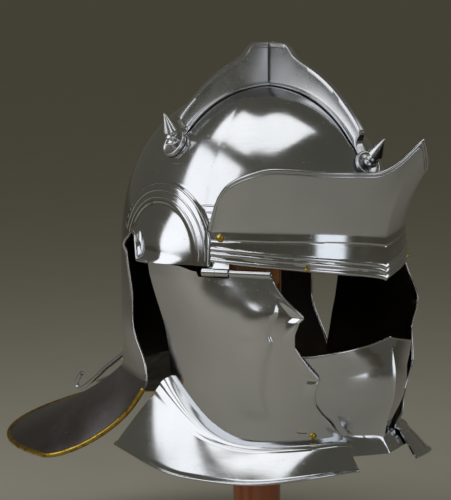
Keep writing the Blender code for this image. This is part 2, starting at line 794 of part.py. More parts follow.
def crease_depth(column):
    """How deep the collar's crease lies, from the rear (0) to the front (1) of the guard."""
    dip = CREASE_DIP * math.sin(math.pi * min(column / 0.95, 1.0))
    return blend(CHEEK_CREASE_REAR, CHEEK_DEPTH, math.sin(math.pi / 2.0 * min(column / 0.6, 1.0))) + dip


def cheek_radius(angle, share):
    """The radius of the cheek guard's outer face."""
    front, half_width, squareness = cheek_plan(share)
    return oval_radius(angle, front, BOWL_BACK, half_width, squareness, NAPE_SQUARENESS)


def cheek_angles():
    """Shares of the cheek guard's columns, with one at each side of the hinge's split."""
    rear, front = hinge_line()
    top_rear = CHEEK_REAR_TABLE[0][1]
    top_front = CHEEK_FRONT_TABLE[0][1]
    split = angle_of(rear.lerp(front, HINGE_BOWL_SHARE))
    marks = [split + 0.6, split - 0.6, angle_of(rear) + 2.0, angle_of(rear) + 3.2]
    shares = [(top_rear - mark) / (top_rear - top_front) for mark in marks]
    even = [s for s in spread(0.0, 1.0, CHEEK_COLUMNS) if min(abs(s - m) for m in shares) > 0.018]
    return sorted(even + shares)


def cheek_point(side, column, share):
    """A point of a guard: column from rear to front, share 0 to 1 on the cheek and 1 to 2 on the collar."""
    if share <= 1.0:
        angle = blend(read_table(CHEEK_REAR_TABLE, share), read_table(CHEEK_FRONT_TABLE, share), column)
        top = cheek_top(angle) if share == 0.0 else 0.0
        depth = share * crease_depth(column)
        radius = cheek_radius(angle, share)
        height = top if share == 0.0 else -depth
    else:
        part = share - 1.0
        angle = blend(
            blend(CHEEK_REAR_TABLE[-1][1], COLLAR_REAR_ANGLE, part ** 1.1),
            blend(CHEEK_FRONT_TABLE[-1][1], COLLAR_FRONT_ANGLE, part), column)
        inner = cheek_radius(angle, 1.0)
        outer = collar_radius(angle)
        bead = COLLAR_BEAD * math.sin(math.pi * min(part / 0.2, 1.0))
        radius = blend(inner, outer, part ** 0.85) + bead
        corners = smooth((column - 0.6) / 0.4) + smooth(1.0 - column / 0.4)
        bottom = COLLAR_DEPTH - COLLAR_CORNER_RISE * corners
        height = -blend(crease_depth(column), bottom, part ** 1.1)
    turn = math.radians(angle)
    return place(radius * math.cos(turn), side * radius * math.sin(turn), height)


def build_cheek(name, side, material):
    """A cheek guard with its scalloped front edge, flared collar and rolled hinge knuckle."""
    columns = cheek_angles()
    order = columns if side < 0 else list(reversed(columns))
    shares = list(CHEEK_ROWS) + [1.0 + s for s in COLLAR_ROWS]
    rows = [[cheek_point(side, column, share) for column in order] for share in shares]
    guard = build_sheet(name, rows, material)
    rear, front = (mirrored(point, side) for point in hinge_line())
    split = rear.lerp(front, HINGE_BOWL_SHARE) + (front - rear).normalized() * GAP
    knuckle = tube(name + "_knuckle", split, front, KNUCKLE_RADIUS, PIN_RADIUS + GAP, material)
    return combine(guard, knuckle, "UNION")


def mirrored(point, side):
    """A point of the left side, or its mirror on the right."""
    return Vector((point.x, point.y * side, point.z))


def tube(name, start, end, outer, inner, material, sides=14):
    """A straight tube between two points."""
    bm = bmesh.new()
    length = (end - start).length
    rings = []
    for radius, along in ((outer, 0.0), (outer, length), (inner, length), (inner, 0.0)):
        rings.append(add_circle(bm, radius, along, sides))
    for i in range(4):
        join_rings(bm, rings[i], rings[(i + 1) % 4])
    turn = (end - start).to_track_quat("Z", "Y").to_matrix().to_4x4()
    bmesh.ops.transform(bm, matrix=Matrix.Translation(start) @ turn, verts=bm.verts)
    bmesh.ops.recalc_face_normals(bm, faces=bm.faces)
    return add_object(name, bm, material)


def build_hinge(name, side, material):
    """The bowl's half of a hinge: knuckle, pin and the leaf that lies inside the bowl's wall."""
    rear, front = (mirrored(point, side) for point in hinge_line())
    along = (front - rear).normalized()
    split = rear.lerp(front, HINGE_BOWL_SHARE)
    length = (split - rear).length
    total = (front - rear).length
    end = length - GAP
    profile = ((KNUCKLE_RADIUS, 0.0), (KNUCKLE_RADIUS, end), (PIN_RADIUS, end), (PIN_RADIUS, total))
    knuckle = turned(name, profile, 14, material, rear, along)
    first = angle_of(rear)
    last = angle_of(split)
    inset = -(SHEET + LEAF_INSET)
    rows = []
    for height in (HINGE_LEVEL + HINGE_LEAF_HEIGHT, HINGE_LEVEL + 0.008, HINGE_LEVEL + 0.0045, HINGE_LEVEL):
        row = []
        for share in (0.06, 0.5, 0.94):
            angle = blend(first, last, share)
            point = wall_point(angle, height, inset)
            if height < HINGE_LEVEL + 0.004:
                base = rear.lerp(split, share)
                outward = Vector((math.cos(math.radians(angle)), math.sin(math.radians(angle)), 0.0))
                point = base - outward * KNUCKLE_RADIUS * 0.2
            row.append(point)
        if side < 0:
            rows.append(row)
        else:
            rows.append(list(reversed(row)))
    leaf = build_sheet(name + "_leaf", rows, material, thickness=HINGE_LEAF_THICKNESS)
    return combine(knuckle, leaf, "UNION")


def wall_point(angle, height, out):
    """A point at a distance from the bowl's plain wall, without its ear arches."""
    radius = bowl_plan(angle) * bowl_shrink(height, angle) + out
    return place(radius * math.cos(math.radians(angle)), radius * math.sin(math.radians(angle)), height)


CHIN_RIDGE_TABLE = (
    # share of the plate's depth, share of the ridge's reach
    (0.00, 0.958), (0.10, 0.975), (0.30, 1.000), (0.52, 0.990), (0.66, 0.955), (0.84, 0.925), (0.90, 0.925),
    (1.00, 0.965),
)
CHIN_ROWS = (0.0, 0.12, 0.30, 0.48, 0.66, 0.84, 0.90, 1.0)


def guard_radius(angle, depth):
    """The radius of a cheek guard's outer face at an angle and a depth under the brow."""
    angle = abs(angle)
    crease = CHEEK_DEPTH
    for _ in range(4):
        share = min(depth / crease, 1.0)
        rear = read_table(CHEEK_REAR_TABLE, share)
        front = read_table(CHEEK_FRONT_TABLE, share)
        crease = crease_depth(min(max((rear - angle) / (rear - front), 0.0), 1.0))
    inner = cheek_radius(angle, min(depth / crease, 1.0))
    if depth <= crease:
        return inner
    part = (depth - crease) / (COLLAR_DEPTH - COLLAR_CORNER_RISE - crease)
    return blend(inner, collar_radius(angle), max(part, 0.0) ** (0.85 / 1.1))


def collar_radius(angle):
    """The radius of the collar's lower edge."""
    return oval_radius(angle, COLLAR_FRONT, BOWL_BACK * 1.12, COLLAR_HALF_WIDTH, 2.0, NAPE_SQUARENESS)


def chin_point(angle, share):
    """A point of the chin plate, from its upper edge (0) to its lower (1)."""
    edge = cheek_edge_angle(blend(CHIN_TOP_SIDE, CHIN_BOTTOM, share))
    side = min(abs(angle) / (edge - CHIN_EDGE_MARGIN), 1.0)
    top = blend(CHIN_TOP, CHIN_TOP_SIDE, side ** 0.8)
    depth = blend(top, CHIN_BOTTOM, share)
    clearance = CHIN_CLEARANCE if angle < 0.0 else CHIN_SEAT
    clearance += CHIN_COLLAR_CLEARANCE * smooth((depth - CHEEK_DEPTH + 0.018) / 0.012)
    inside = guard_radius(angle, depth) - SHEET - clearance
    ridge = CHIN_RIDGE_REACH * read_table(CHIN_RIDGE_TABLE, share)
    radius = blend(ridge, inside, side ** 0.75)
    turn = math.radians(angle)
    return place(radius * math.cos(turn), radius * math.sin(turn), -depth)


CHIN_COLUMNS = (0.15, 0.34, 0.55, 0.78, 1.0)


def chin_angles(side, share):
    """The angles of a row of the chin plate on one side, the last two under the cheek guard."""
    edge = cheek_edge_angle(blend(CHIN_TOP_SIDE, CHIN_BOTTOM, share))
    bare = edge - CHIN_EDGE_MARGIN
    lap = CHIN_LAP_ANGLE_LEFT if side > 0 else blend(CHIN_LAP_ANGLE, CHIN_LAP_ANGLE_FOOT, share)
    return [side * angle for angle in [bare * c for c in CHIN_COLUMNS] + [edge + lap * 0.4, edge + lap]]


def cheek_edge_angle(depth):
    """The angle of a cheek guard's front edge at a depth under the brow."""
    return read_table(CHEEK_FRONT_TABLE, min(depth / CHEEK_DEPTH, 1.0))


def build_chin_plate(material):
    """The keeled plate that closes the chin between the cheek guards."""
    rows = []
    for share in CHIN_ROWS:
        angles = list(reversed(chin_angles(-1, share))) + [0.0] + chin_angles(1, share)
        rows.append([chin_point(angle, share) for angle in angles])
    return build_sheet("chin_plate", rows, material)


def face_frame(angle, height, radius_at):
    """A point on an upright face and the face's outward normal there."""
    point = around_axis(angle, radius_at(angle, height), height)
    tangent = around_axis(angle + 0.5, radius_at(angle + 0.5, height), height) - point
    rise = around_axis(angle, radius_at(angle, height + 0.001), height + 0.001) - point
    return point, tangent.cross(rise).normalized()


def around_axis(angle, radius, height):
    """A point given by its angle about the helmet's axis, in degrees from the front."""
    turn = math.radians(angle)
    return place(radius * math.cos(turn), radius * math.sin(turn), height)


def band_radius(angle, height):
    """The radius of the brow band's outer face."""
    point = band_point(angle, height)
    return math.hypot(point.x - CENTRE_FORWARD, point.y)


def cheek_face_radius(angle, height):
    """The radius of a cheek guard's outer face at a height under the brow."""
    return cheek_radius(abs(angle), min(-height / CHEEK_DEPTH, 1.0))


def build_rivet(name, spot, radius, radius_at, material, rise=0.7):
    """A domed rivet head on a face, at an angle and a height."""
    point, normal = face_frame(spot[0], spot[1], radius_at)
    seat = 2.0 * GAP
    top = radius * rise
    profile = [(radius, seat), (radius * 0.92, seat + top * 0.45), (radius * 0.6, seat + top * 0.85)]
    profile += [(0.0, seat + top)]
    return turned(name, profile, 12, material, point, normal)


def cut_slot(guard, material):
    """The fastening slot through the right cheek guard."""
    point, normal = face_frame(-SLOT_ANGLE, -SLOT_LEVEL, cheek_face_radius)
    bm = bmesh.new()
    bmesh.ops.create_cube(bm, size=1.0)
    across = Vector((0.0, 0.0, 1.0)).cross(normal).normalized()
    up = normal.cross(across)
    basis = Matrix((across, up, normal)).transposed().to_4x4()
    size = Matrix.Diagonal((SLOT_LENGTH, SLOT_HEIGHT, SHEET * 8.0, 1.0))
    bmesh.ops.transform(bm, matrix=Matrix.Translation(point) @ basis @ size, verts=bm.verts)
    cutter = add_object("slot_cutter", bm, material)
    return combine(guard, cutter, "DIFFERENCE")


HOOK_ROUTE = (
    # distance behind the skirt, drop under the brow: shares of the neck guard's length and the skirt's depth
    (-0.010, 0.735), (0.14, 0.800), (0.36, 0.985), (0.562, 1.155), (0.656, 1.232), (0.752, 1.309),
    (0.848, 1.400), (0.930, 1.470), (1.010, 1.535), (1.070, 1.572), (1.108, 1.562), (1.117, 1.526),
    (1.085, 1.460), (1.043, 1.403),
)
HOOK_STAY_ROUTE = (
    # the same shares for the thin stay under the hook
    (0.548, 1.178), (0.537, 1.240), (0.540, 1.295), (0.575, 1.325), (0.658, 1.361), (0.753, 1.403),
    (0.866, 1.4626),
)


def hook_points(route):
    """The points of a wire in the helmet's middle plane."""
    back = BOWL_BACK + 0.002
    return [place(-back - a * NECK_GUARD_LENGTH, 0.0, -b * SKIRT_DEPTH) for a, b in route]


def build_wire(name, points, radius, material, sides=8):
    """A round wire along a smooth curve through its points."""
    curve = bpy.data.curves.new(name, "CURVE")
    curve.dimensions = "3D"
    curve.bevel_depth = radius
    curve.bevel_resolution = sides // 4 - 1
    curve.use_fill_caps = True
    fine = smooth_route(points, 2)
    spline = curve.splines.new("POLY")
    spline.points.add(len(fine) - 1)
    for slot, point in zip(spline.points, fine):
        slot.co = (*point, 1.0)
    curve.materials.append(material)
    item = bpy.data.objects.new(name, curve)
    bpy.context.scene.collection.objects.link(item)
    return item


def smooth_route(points, steps):
    """Points on a smooth curve through a route's own points."""
    padded = [points[0] * 2.0 - points[1]] + list(points) + [points[-1] * 2.0 - points[-2]]
    result = []
    for i in range(1, len(padded) - 2):
        p0, p1, p2, p3 = padded[i - 1:i + 3]
        for k in range(steps):
            t = k / steps
            result.append(0.5 * (2.0 * p1 + (p2 - p0) * t + (2.0 * p0 - 5.0 * p1 + 4.0 * p2 - p3) * t ** 2
                                 + (3.0 * p1 - p0 - 3.0 * p2 + p3) * t ** 3))
    result.append(points[-1])
    return result


def build_tab(name, side, material):
    """A leather tab inside the bowl's rim at the temple."""
    rows = []
    inset = -(SHEET + LEAF_INSET + HINGE_LEAF_THICKNESS + 2.0 * GAP)
    for height in (LEATHER_TOP, 0.006, -0.001, LEATHER_BOTTOM):
        row = []
        for share in (0.0, 0.2, 0.4, 0.6, 0.8, 1.0):
            angle = blend(LEATHER_BACK_ANGLE, LEATHER_FRONT_ANGLE, share)
            extra = -0.0022 if height < 0.010 else 0.0
            row.append(wall_point(angle * side, height, inset + extra))
        rows.append(row if side < 0 else list(reversed(row)))
    return build_sheet(name, rows, material, thickness=LEATHER_THICKNESS)


def build_stand(material):
    """The turned stand: a moulded base, a plain post and a rounded cap under the crown."""
    top = BROW_LEVEL + crown_height_over_post() - 2.0 * GAP
    cap = STAND_CAP_RADIUS
    base = STAND_BASE_RADIUS
    rise = STAND_BASE_HEIGHT
    post = STAND_POST_RADIUS
    profile = (
        (base, 0.0), (base, rise * 0.55), (base * 0.97, rise * 0.72), (base * 0.90, rise * 0.78),
        (base * 0.86, rise * 0.98), (base * 0.80, rise), (post * 1.55, rise), (post * 1.5, rise + 0.006),
        (post * 1.05, rise + 0.012), (post, rise + 0.018), (post, top - STAND_CAP_DEPTH - 0.004),
        (cap * 0.92, top - STAND_CAP_DEPTH), (cap, top - STAND_CAP_DEPTH * 0.80),
        (cap * 0.93, top - STAND_CAP_DEPTH * 0.55), (cap * 0.72, top - STAND_CAP_DEPTH * 0.27),
        (cap * 0.40, top - STAND_CAP_DEPTH * 0.08), (0.0, top),
    )
    return turned("stand", profile, STAND_SIDES, material, Vector((0.0, 0.0, 0.0)), Vector((0.0, 0.0, 1.0)))


def crown_height_over_post():
    """The height of the bowl's inner face straight over the post."""
    point, normal = meridian(180.0, CENTRE_FORWARD)
    return point.z - BROW_LEVEL - SHEET / normal.z


def add_axis(name, side):
    """An empty on a cheek guard's hinge axis."""
    axis = bpy.data.objects.new(name, None)
    rear, front = (mirrored(point, side) for point in hinge_line())
    axis.location = rear.lerp(front, 0.5)
    bpy.context.scene.collection.objects.link(axis)
    return axis


def attach(item, parent):
    """Parents an object without moving it."""
    bpy.context.view_layer.update()
    item.parent = parent
    item.matrix_parent_inverse = parent.matrix_world.inverted()


def main():
    """Builds the helmet and its stand."""
    clear_scene()
    steel = make_material("polished_steel", (0.62, 0.63, 0.64), 1.0, 0.16)
    satin = make_material("crest_steel", (0.60, 0.62, 0.64), 1.0, 0.22)
    brass = make_material("brass", (0.66, 0.50, 0.20), 1.0, 0.30)
    leather = make_material("leather", (0.42, 0.20, 0.07), 0.0, 0.60)
    wood = make_material("varnished_wood", (0.40, 0.15, 0.05), 0.0, 0.35)
    right_axis = add_axis("cheek_right_axis", -1)
    left_axis = add_axis("cheek_left_axis", 1)

    build_stand(wood)
    build_bowl(steel)
    build_binding(brass)
    build_peak(steel)
    build_bar("crest_bar_long", 0.0, satin, 180.0)
    build_bar("crest_bar_right", -SIDE_BAR_ANGLE, satin)
    build_bar("crest_bar_left", SIDE_BAR_ANGLE, satin)
    arms = (("front", 0.0), ("back", 180.0), ("right", -SIDE_BAR_ANGLE), ("left", SIDE_BAR_ANGLE))
    for name, angle in arms:
        build_spike("spike_" + name, angle, satin)
    for name, side, axis in (("right", -1, right_axis), ("left", 1, left_axis)):
        guard = build_cheek("cheek_guard_" + name, side, steel)
        attach(guard, axis)
        if side < 0:
            cut_slot(guard, steel)
        build_hinge("hinge_" + name, side, steel)
        build_tab("leather_tab_" + name, side, leather)
        build_rivet("peak_rivet_" + name, (PEAK_RIVET_ANGLE * side, PEAK_RIVET_LEVEL), PEAK_RIVET_RADIUS,
                    band_radius, brass)
        low = band_bottom(RIM_RIVET_ANGLE) + RIM_RIVET_RADIUS * 1.1
        build_rivet("rim_rivet_" + name, (RIM_RIVET_ANGLE * side, low), RIM_RIVET_RADIUS,
                    band_radius, brass, 0.5)
    plate = build_chin_plate(steel)
    attach(plate, left_axis)
    knob = build_rivet("closing_knob", (-KNOB_ANGLE, -KNOB_LEVEL), KNOB_RADIUS, cheek_face_radius, brass, 0.8)
    attach(knob, right_axis)
    build_wire("nape_hook", hook_points(HOOK_ROUTE), HOOK_RADIUS, satin)
    build_wire("nape_hook_stay", hook_points(HOOK_STAY_ROUTE), HOOK_WIRE_RADIUS, satin)


main()
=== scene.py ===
"""Visual model of a polished steel helmet on a turned wooden stand. Metres, +Z up, +X ahead of the wearer's
face, +Y to the wearer's left. The forms repeat the sizes of the solids, with finer meshes and real
finishes."""
import logging
import math
from dataclasses import dataclass
from enum import Enum
from typing import Any, Callable, Iterable, Sequence

import bmesh
import bpy
from mathutils import Matrix, Vector


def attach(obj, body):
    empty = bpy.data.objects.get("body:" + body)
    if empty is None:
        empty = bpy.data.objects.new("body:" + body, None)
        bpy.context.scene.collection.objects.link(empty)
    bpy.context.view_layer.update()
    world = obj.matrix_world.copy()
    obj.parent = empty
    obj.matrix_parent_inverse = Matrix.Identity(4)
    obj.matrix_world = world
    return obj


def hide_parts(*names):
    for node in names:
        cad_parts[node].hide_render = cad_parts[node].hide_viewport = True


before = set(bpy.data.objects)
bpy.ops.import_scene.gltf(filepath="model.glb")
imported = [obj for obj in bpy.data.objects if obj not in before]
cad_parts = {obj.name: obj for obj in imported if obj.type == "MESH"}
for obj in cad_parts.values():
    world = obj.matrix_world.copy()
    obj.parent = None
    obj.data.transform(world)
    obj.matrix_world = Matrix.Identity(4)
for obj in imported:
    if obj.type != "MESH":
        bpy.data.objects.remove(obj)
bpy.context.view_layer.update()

LOG = logging.getLogger("helmet")
Row = list[Vector]
Table = Sequence[tuple[float, float]]
GAP = 0.0003
SHEET = 0.0015


class Side(Enum):
    """The wearer's side that a piece sits on; the value is the sign of Y."""

    RIGHT = -1
    LEFT = 1

    @property
    def label(self) -> str:
        """The side's name as the nodes spell it."""
        return self.name.lower()


def blend(a: float, b: float, share: float) -> float:
    """A value between two others.

    Args:
        a: value at share 0.
        b: value at share 1.
        share: where to read.

    Returns:
        The value at the share.
    """
    return a + (b - a) * share


def smooth(share: float) -> float:
    """An eased share.

    Args:
        share: any number, held between 0 and 1.

    Returns:
        The eased share between 0 and 1.
    """
    share = min(max(share, 0.0), 1.0)
    return share * share * (3.0 - 2.0 * share)


def read_table(table: Table, share: float) -> float:
    """A value read from rows of (share, value) by straight lines.

    Args:
        table: rows in rising order of share.
        share: where to read.

    Returns:
        The value at the share.
    """
    if share <= table[0][0]:
        return table[0][1]
    for (low, first), (high, second) in zip(table, table[1:]):
        if share <= high:
            return blend(first, second, (share - low) / (high - low))
    return table[-1][1]


def read_curve(table: Table, share: float) -> float:
    """A value read from rows of (share, value) along a smooth curve through them.

    Args:
        table: rows in rising order of share.
        share: where to read.

    Returns:
        The value at the share.
    """
    if share <= table[0][0]:
        return table[0][1]
    last = len(table) - 1
    for i in range(last):
        low, high = table[i], table[i + 1]
        if share > high[0]:
            continue
        before, after = table[max(i - 1, 0)], table[min(i + 2, last)]
        span = high[0] - low[0]
        start = (high[1] - before[1]) / max(high[0] - before[0], 1e-9) * span
        end = (after[1] - low[1]) / max(after[0] - low[0], 1e-9) * span
        t = (share - low[0]) / span
        return ((2 * t ** 3 - 3 * t * t + 1) * low[1] + (t ** 3 - 2 * t * t + t) * start
                + (3 * t * t - 2 * t ** 3) * high[1] + (t ** 3 - t * t) * end)
    return table[-1][1]


def spread(first: float, last: float, count: int) -> list[float]:
    """Evenly spread values.

    Args:
        first: the first value.
        last: the last value.
        count: how many, both ends among them.

    Returns:
        The values.
    """
    return [blend(first, last, i / (count - 1)) for i in range(count)]


def bead(offset: float, half_width: float) -> float:
    """The height share of a round raised line.

    Args:
        offset: distance from the line's middle.
        half_width: half of the line's width.

    Returns:
        1 at the middle, 0 beside the line.
    """
    share = abs(offset) / half_width
    return math.sqrt(1.0 - share * share) if share < 1.0 else 0.0


def place(x: float, y: float, z: float) -> Vector:
    """A point given from the helmet's centre and brow level.

    Args:
        x: metres ahead of the centre.
        y: metres to the wearer's left.
        z: metres over the brow.

    Returns:
        The point in the world.
    """
    return Vector((x + 0.014, y, z + 0.255))


def polar(angle: float, radius: float, height: float) -> Vector:
    """A point given by its angle about the helmet's axis.

    Args:
        angle: degrees from the front, positive to the left.
        radius: distance from the axis.
        height: metres over the brow.

    Returns:
        The point in the world.
    """
    turn = math.radians(angle)
    return place(radius * math.cos(turn), radius * math.sin(turn), height)


def angle_of(point: Vector) -> float:
    """The angle of a point about the helmet's axis.

    Args:
        point: a point in the world.

    Returns:
        Degrees from the front, positive to the left.
    """
    return math.degrees(math.atan2(point.y, point.x - 0.014))


def oval(angle: float, front: float, back: float, half_width: float, ahead: float, behind: float) -> float:
    """The radius of an egg-shaped plan.

    Args:
        angle: degrees from the front.
        front: reach ahead.
        back: reach behind.
        half_width: reach to the side.
        ahead: squareness of the front half.
        behind: squareness of the back half.

    Returns:
        The radius at the angle.
    """
    forward = math.cos(math.radians(angle))
    sideways = abs(math.sin(math.radians(angle)))
    length = front if forward > 0.0 else back
    power = blend(behind, ahead, min(max(0.5 + 1.6 * forward, 0.0), 1.0))
    return ((abs(forward) / length) ** power + (sideways / half_width) ** power) ** (-1.0 / power)


@dataclass(frozen=True)
class BowlForm:
    """The bowl's shape: plan, crown, ear arches, neck skirt and neck guard."""

    front: float = 0.121
    back: float = 0.120
    half_width: float = 0.104
    height: float = 0.134
    brow_squareness: float = 1.60
    nape_squareness: float = 2.3
    crown_squareness: float = 2.3
    crown_shares: Table = ((0.0, 1.0), (22.0, 0.93), (45.0, 0.88), (68.0, 0.93), (90.0, 0.96), (110.0, 0.97),
                           (132.0, 1.03), (180.0, 1.0))
    arch_centre: float = -0.012
    arch_half_width: float = 0.050
    arch_top: float = 0.064
    arch_foot: float = 0.006
    arch_ridge: float = 0.0025
    arch_ridge_width: float = 0.011
    arch_swell: float = 0.006
    opening_top: float = 0.025
    opening_front: float = 103.0
    skirt_edge: float = 118.0
    skirt_top: float = 0.012
    skirt_depth: float = 0.091
    skirt_sweep: float = 0.020
    guard_corner: tuple[float, float] = (-0.032, 0.101)
    guard_widest: float = -0.115
    guard_half_width: float = 0.138
    guard_length: float = 0.112
    guard_squareness: float = 2.5
    guard_drop: float = 0.062
    guard_rise: float = 0.0135
    guard_sag: float = 0.08
    band_end: float = 68.0

    def plan(self, angle: float) -> float:
        """The bowl's radius at the brow at an angle."""
        return oval(angle, self.front, self.back, self.half_width, self.brow_squareness, self.nape_squareness)

    def power(self, angle: float) -> float:
        """How square the crown's section is at an angle."""
        return self.crown_squareness * read_curve(self.crown_shares, abs(angle))

    def shrink(self, height: float, angle: float) -> float:
        """The share of the brow's radius that is left at a height."""
        if height <= 0.0:
            return 1.0
        power = self.power(angle)
        return max(1.0 - (height / self.height) ** power, 0.0) ** (1.0 / power)

    def arch_inwards(self, x: float, height: float) -> float:
        """The distance of a place on the bowl's side inwards from the ear arch's outer line."""
        sideways = (x - self.arch_centre) / self.arch_half_width
        upwards = (height - self.arch_foot) / (self.arch_top - self.arch_foot)
        reach = (abs(sideways) ** 2.2 + max(upwards, 0.0) ** 2.2) ** (1.0 / 2.2)
        return (1.0 - reach) * self.arch_half_width

    def relief(self, x: float, height: float) -> float:
        """How far the ear arch stands out of the bowl's side: a stepped rim, then a swelling panel."""
        inwards = self.arch_inwards(x, height)
        if inwards <= -0.0012:
            return 0.0
        step = self.arch_ridge * smooth((inwards + 0.0012) / 0.0022)
        fall = self.arch_ridge * 0.6 * smooth((inwards - self.arch_ridge_width) / 0.003)
        swell = self.arch_swell * smooth((inwards - self.arch_ridge_width) / 0.030)
        return step - fall + swell

    def rim(self, angle: float) -> float:
        """The height of the bowl's lower edge at an angle."""
        side = abs(angle)
        if side <= self.band_end:
            return blend(-0.0045, 0.0095, min(side / self.band_end, 1.0) ** 0.6) + SHEET
        if side < self.opening_front:
            return self.arch_foot
        if side < self.skirt_edge:
            share = (side - self.opening_front) / (self.skirt_edge - self.opening_front)
            base = blend(self.arch_foot, self.skirt_top, share)
            return base + (self.opening_top - base) * math.sin(math.pi * share) ** 0.55
        return self.skirt_top

    def lip(self, angle: float, height: float) -> float:
        """How far the ear opening's edge is turned outwards at a place."""
        side = abs(angle)
        near = smooth(1.0 - abs(height - self.rim(angle)) / 0.009)
        ahead = smooth((side - 78.0) / 20.0)
        behind = 1.0 - smooth((side - self.skirt_edge) / 4.0)
        return 0.0042 * near * near * ahead * behind

    def point(self, angle: float, height: float, out: float = 0.0) -> Vector:
        """A point on the bowl's outer face, or beyond it by a distance."""
        radius = self.plan(angle) * self.shrink(height, angle)
        x = radius * math.cos(math.radians(angle))
        side = abs(angle)
        if self.band_end < side < 128.0 and height < 0.09:
            out += self.relief(x, height) * smooth((side - self.band_end) / 3.0)
            out += self.lip(angle, height)
        return polar(angle, radius + out, height)

    def wall(self, angle: float, height: float, out: float) -> Vector:
        """A point at a distance from the bowl's plain wall."""
        return polar(angle, self.plan(angle) * self.shrink(height, angle) + out, height)

    def side_point(self, x: float, height: float, side: Side, out: float = 0.0) -> Vector:
        """The point of the bowl's side that lies at a distance ahead of its centre and a height.

        Args:
            x: metres ahead of the centre.
            height: metres over the brow.
            side: which side.
            out: distance beyond the face.

        Returns:
            The point on the face.
        """
        low, high = 20.0, 175.0
        for _ in range(30):
            middle = (low + high) / 2.0
            at = self.plan(middle) * self.shrink(height, middle) * math.cos(math.radians(middle))
            low, high = (middle, high) if at > x else (low, middle)
        return self.point((low + high) / 2.0 * side.value, height, out)

    def dome(self, angle: float, reach: float) -> Vector:
        """A point of the plain face at a distance from the crown's axis."""
        power = self.power(angle)
        share = min(reach / self.plan(angle), 0.9999)
        return polar(angle, reach, self.height * (1.0 - share ** power) ** (1.0 / power))

    def meridian(self, angle: float, reach: float) -> tuple[Vector, Vector]:
        """A point of the plain face at a distance from the crown's axis, with its normal."""
        foot = self.dome(angle, reach)
        if reach < 0.002:
            return foot, Vector((0.0, 0.0, 1.0))
        outwards = self.dome(angle, reach + 0.0005) - self.dome(angle, reach - 0.0005)
        around = self.dome(angle + 0.5, reach) - self.dome(angle - 0.5, reach)
        return foot, outwards.cross(around).normalized()

    def reach(self, angle: float, height: float) -> float:
        """The distance from the crown's axis to the face at a height."""
        return self.plan(angle) * self.shrink(height, angle)

    def guard_outline(self, share: float) -> tuple[float, float, float]:
        """The neck guard's edge, from its front corner (0) to the middle of its back (1)."""
        turn = 0.42
        foot = -self.skirt_depth - 0.003
        if share < turn:
            back = share / turn
            x = blend(self.guard_corner[0], self.guard_widest, back)
            y = blend(self.guard_half_width, self.guard_corner[1], smooth((1.0 - back) / 0.85))
            return x, y, foot - self.guard_drop * math.sin(math.pi / 2.0 * back)
        angle = math.pi / 2.0 * (share - turn) / (1.0 - turn)
        power = 2.0 / self.guard_squareness
        x = self.guard_widest - self.guard_length * math.sin(angle) ** power
        y = self.guard_half_width * max(math.cos(angle), 0.0) ** power
        rise = self.guard_rise * (1.0 - y / self.guard_half_width)
        return x, y, foot - self.guard_drop + rise

    def skirt(self, angle: float, share: float) -> Vector:
        """A point of the neck skirt, from its top (0) to its foot (1)."""
        sweep = self.skirt_sweep * smooth((share - 0.55) / 0.45) * smooth((150.0 - abs(angle)) / 32.0)
        lip = self.lip(angle, self.skirt_top) * (1.0 - smooth(share / 0.4)) if abs(angle) < 124.0 else 0.0
        radius = self.plan(angle) + 0.002 * smooth((share - 0.8) / 0.2) + lip
        point = polar(angle, radius, blend(self.skirt_top, -self.skirt_depth, share))
        point.x += sweep
        return point

    def guard(self, angle: float, share: float) -> Vector:
        """A point of the neck guard, from the skirt's foot (0) to its edge (1)."""
        foot = self.skirt(angle, 1.0)
        along = (abs(angle) - self.skirt_edge) / (180.0 - self.skirt_edge)
        x, y, z = self.guard_outline(along)
        edge = place(x, math.copysign(y, angle) if abs(angle) < 179.9 else 0.0, z)
        point = foot.lerp(edge, share)
        point.z -= (foot.z - edge.z) * self.guard_sag * math.sin(math.pi * share)
        return point


BOWL = BowlForm()


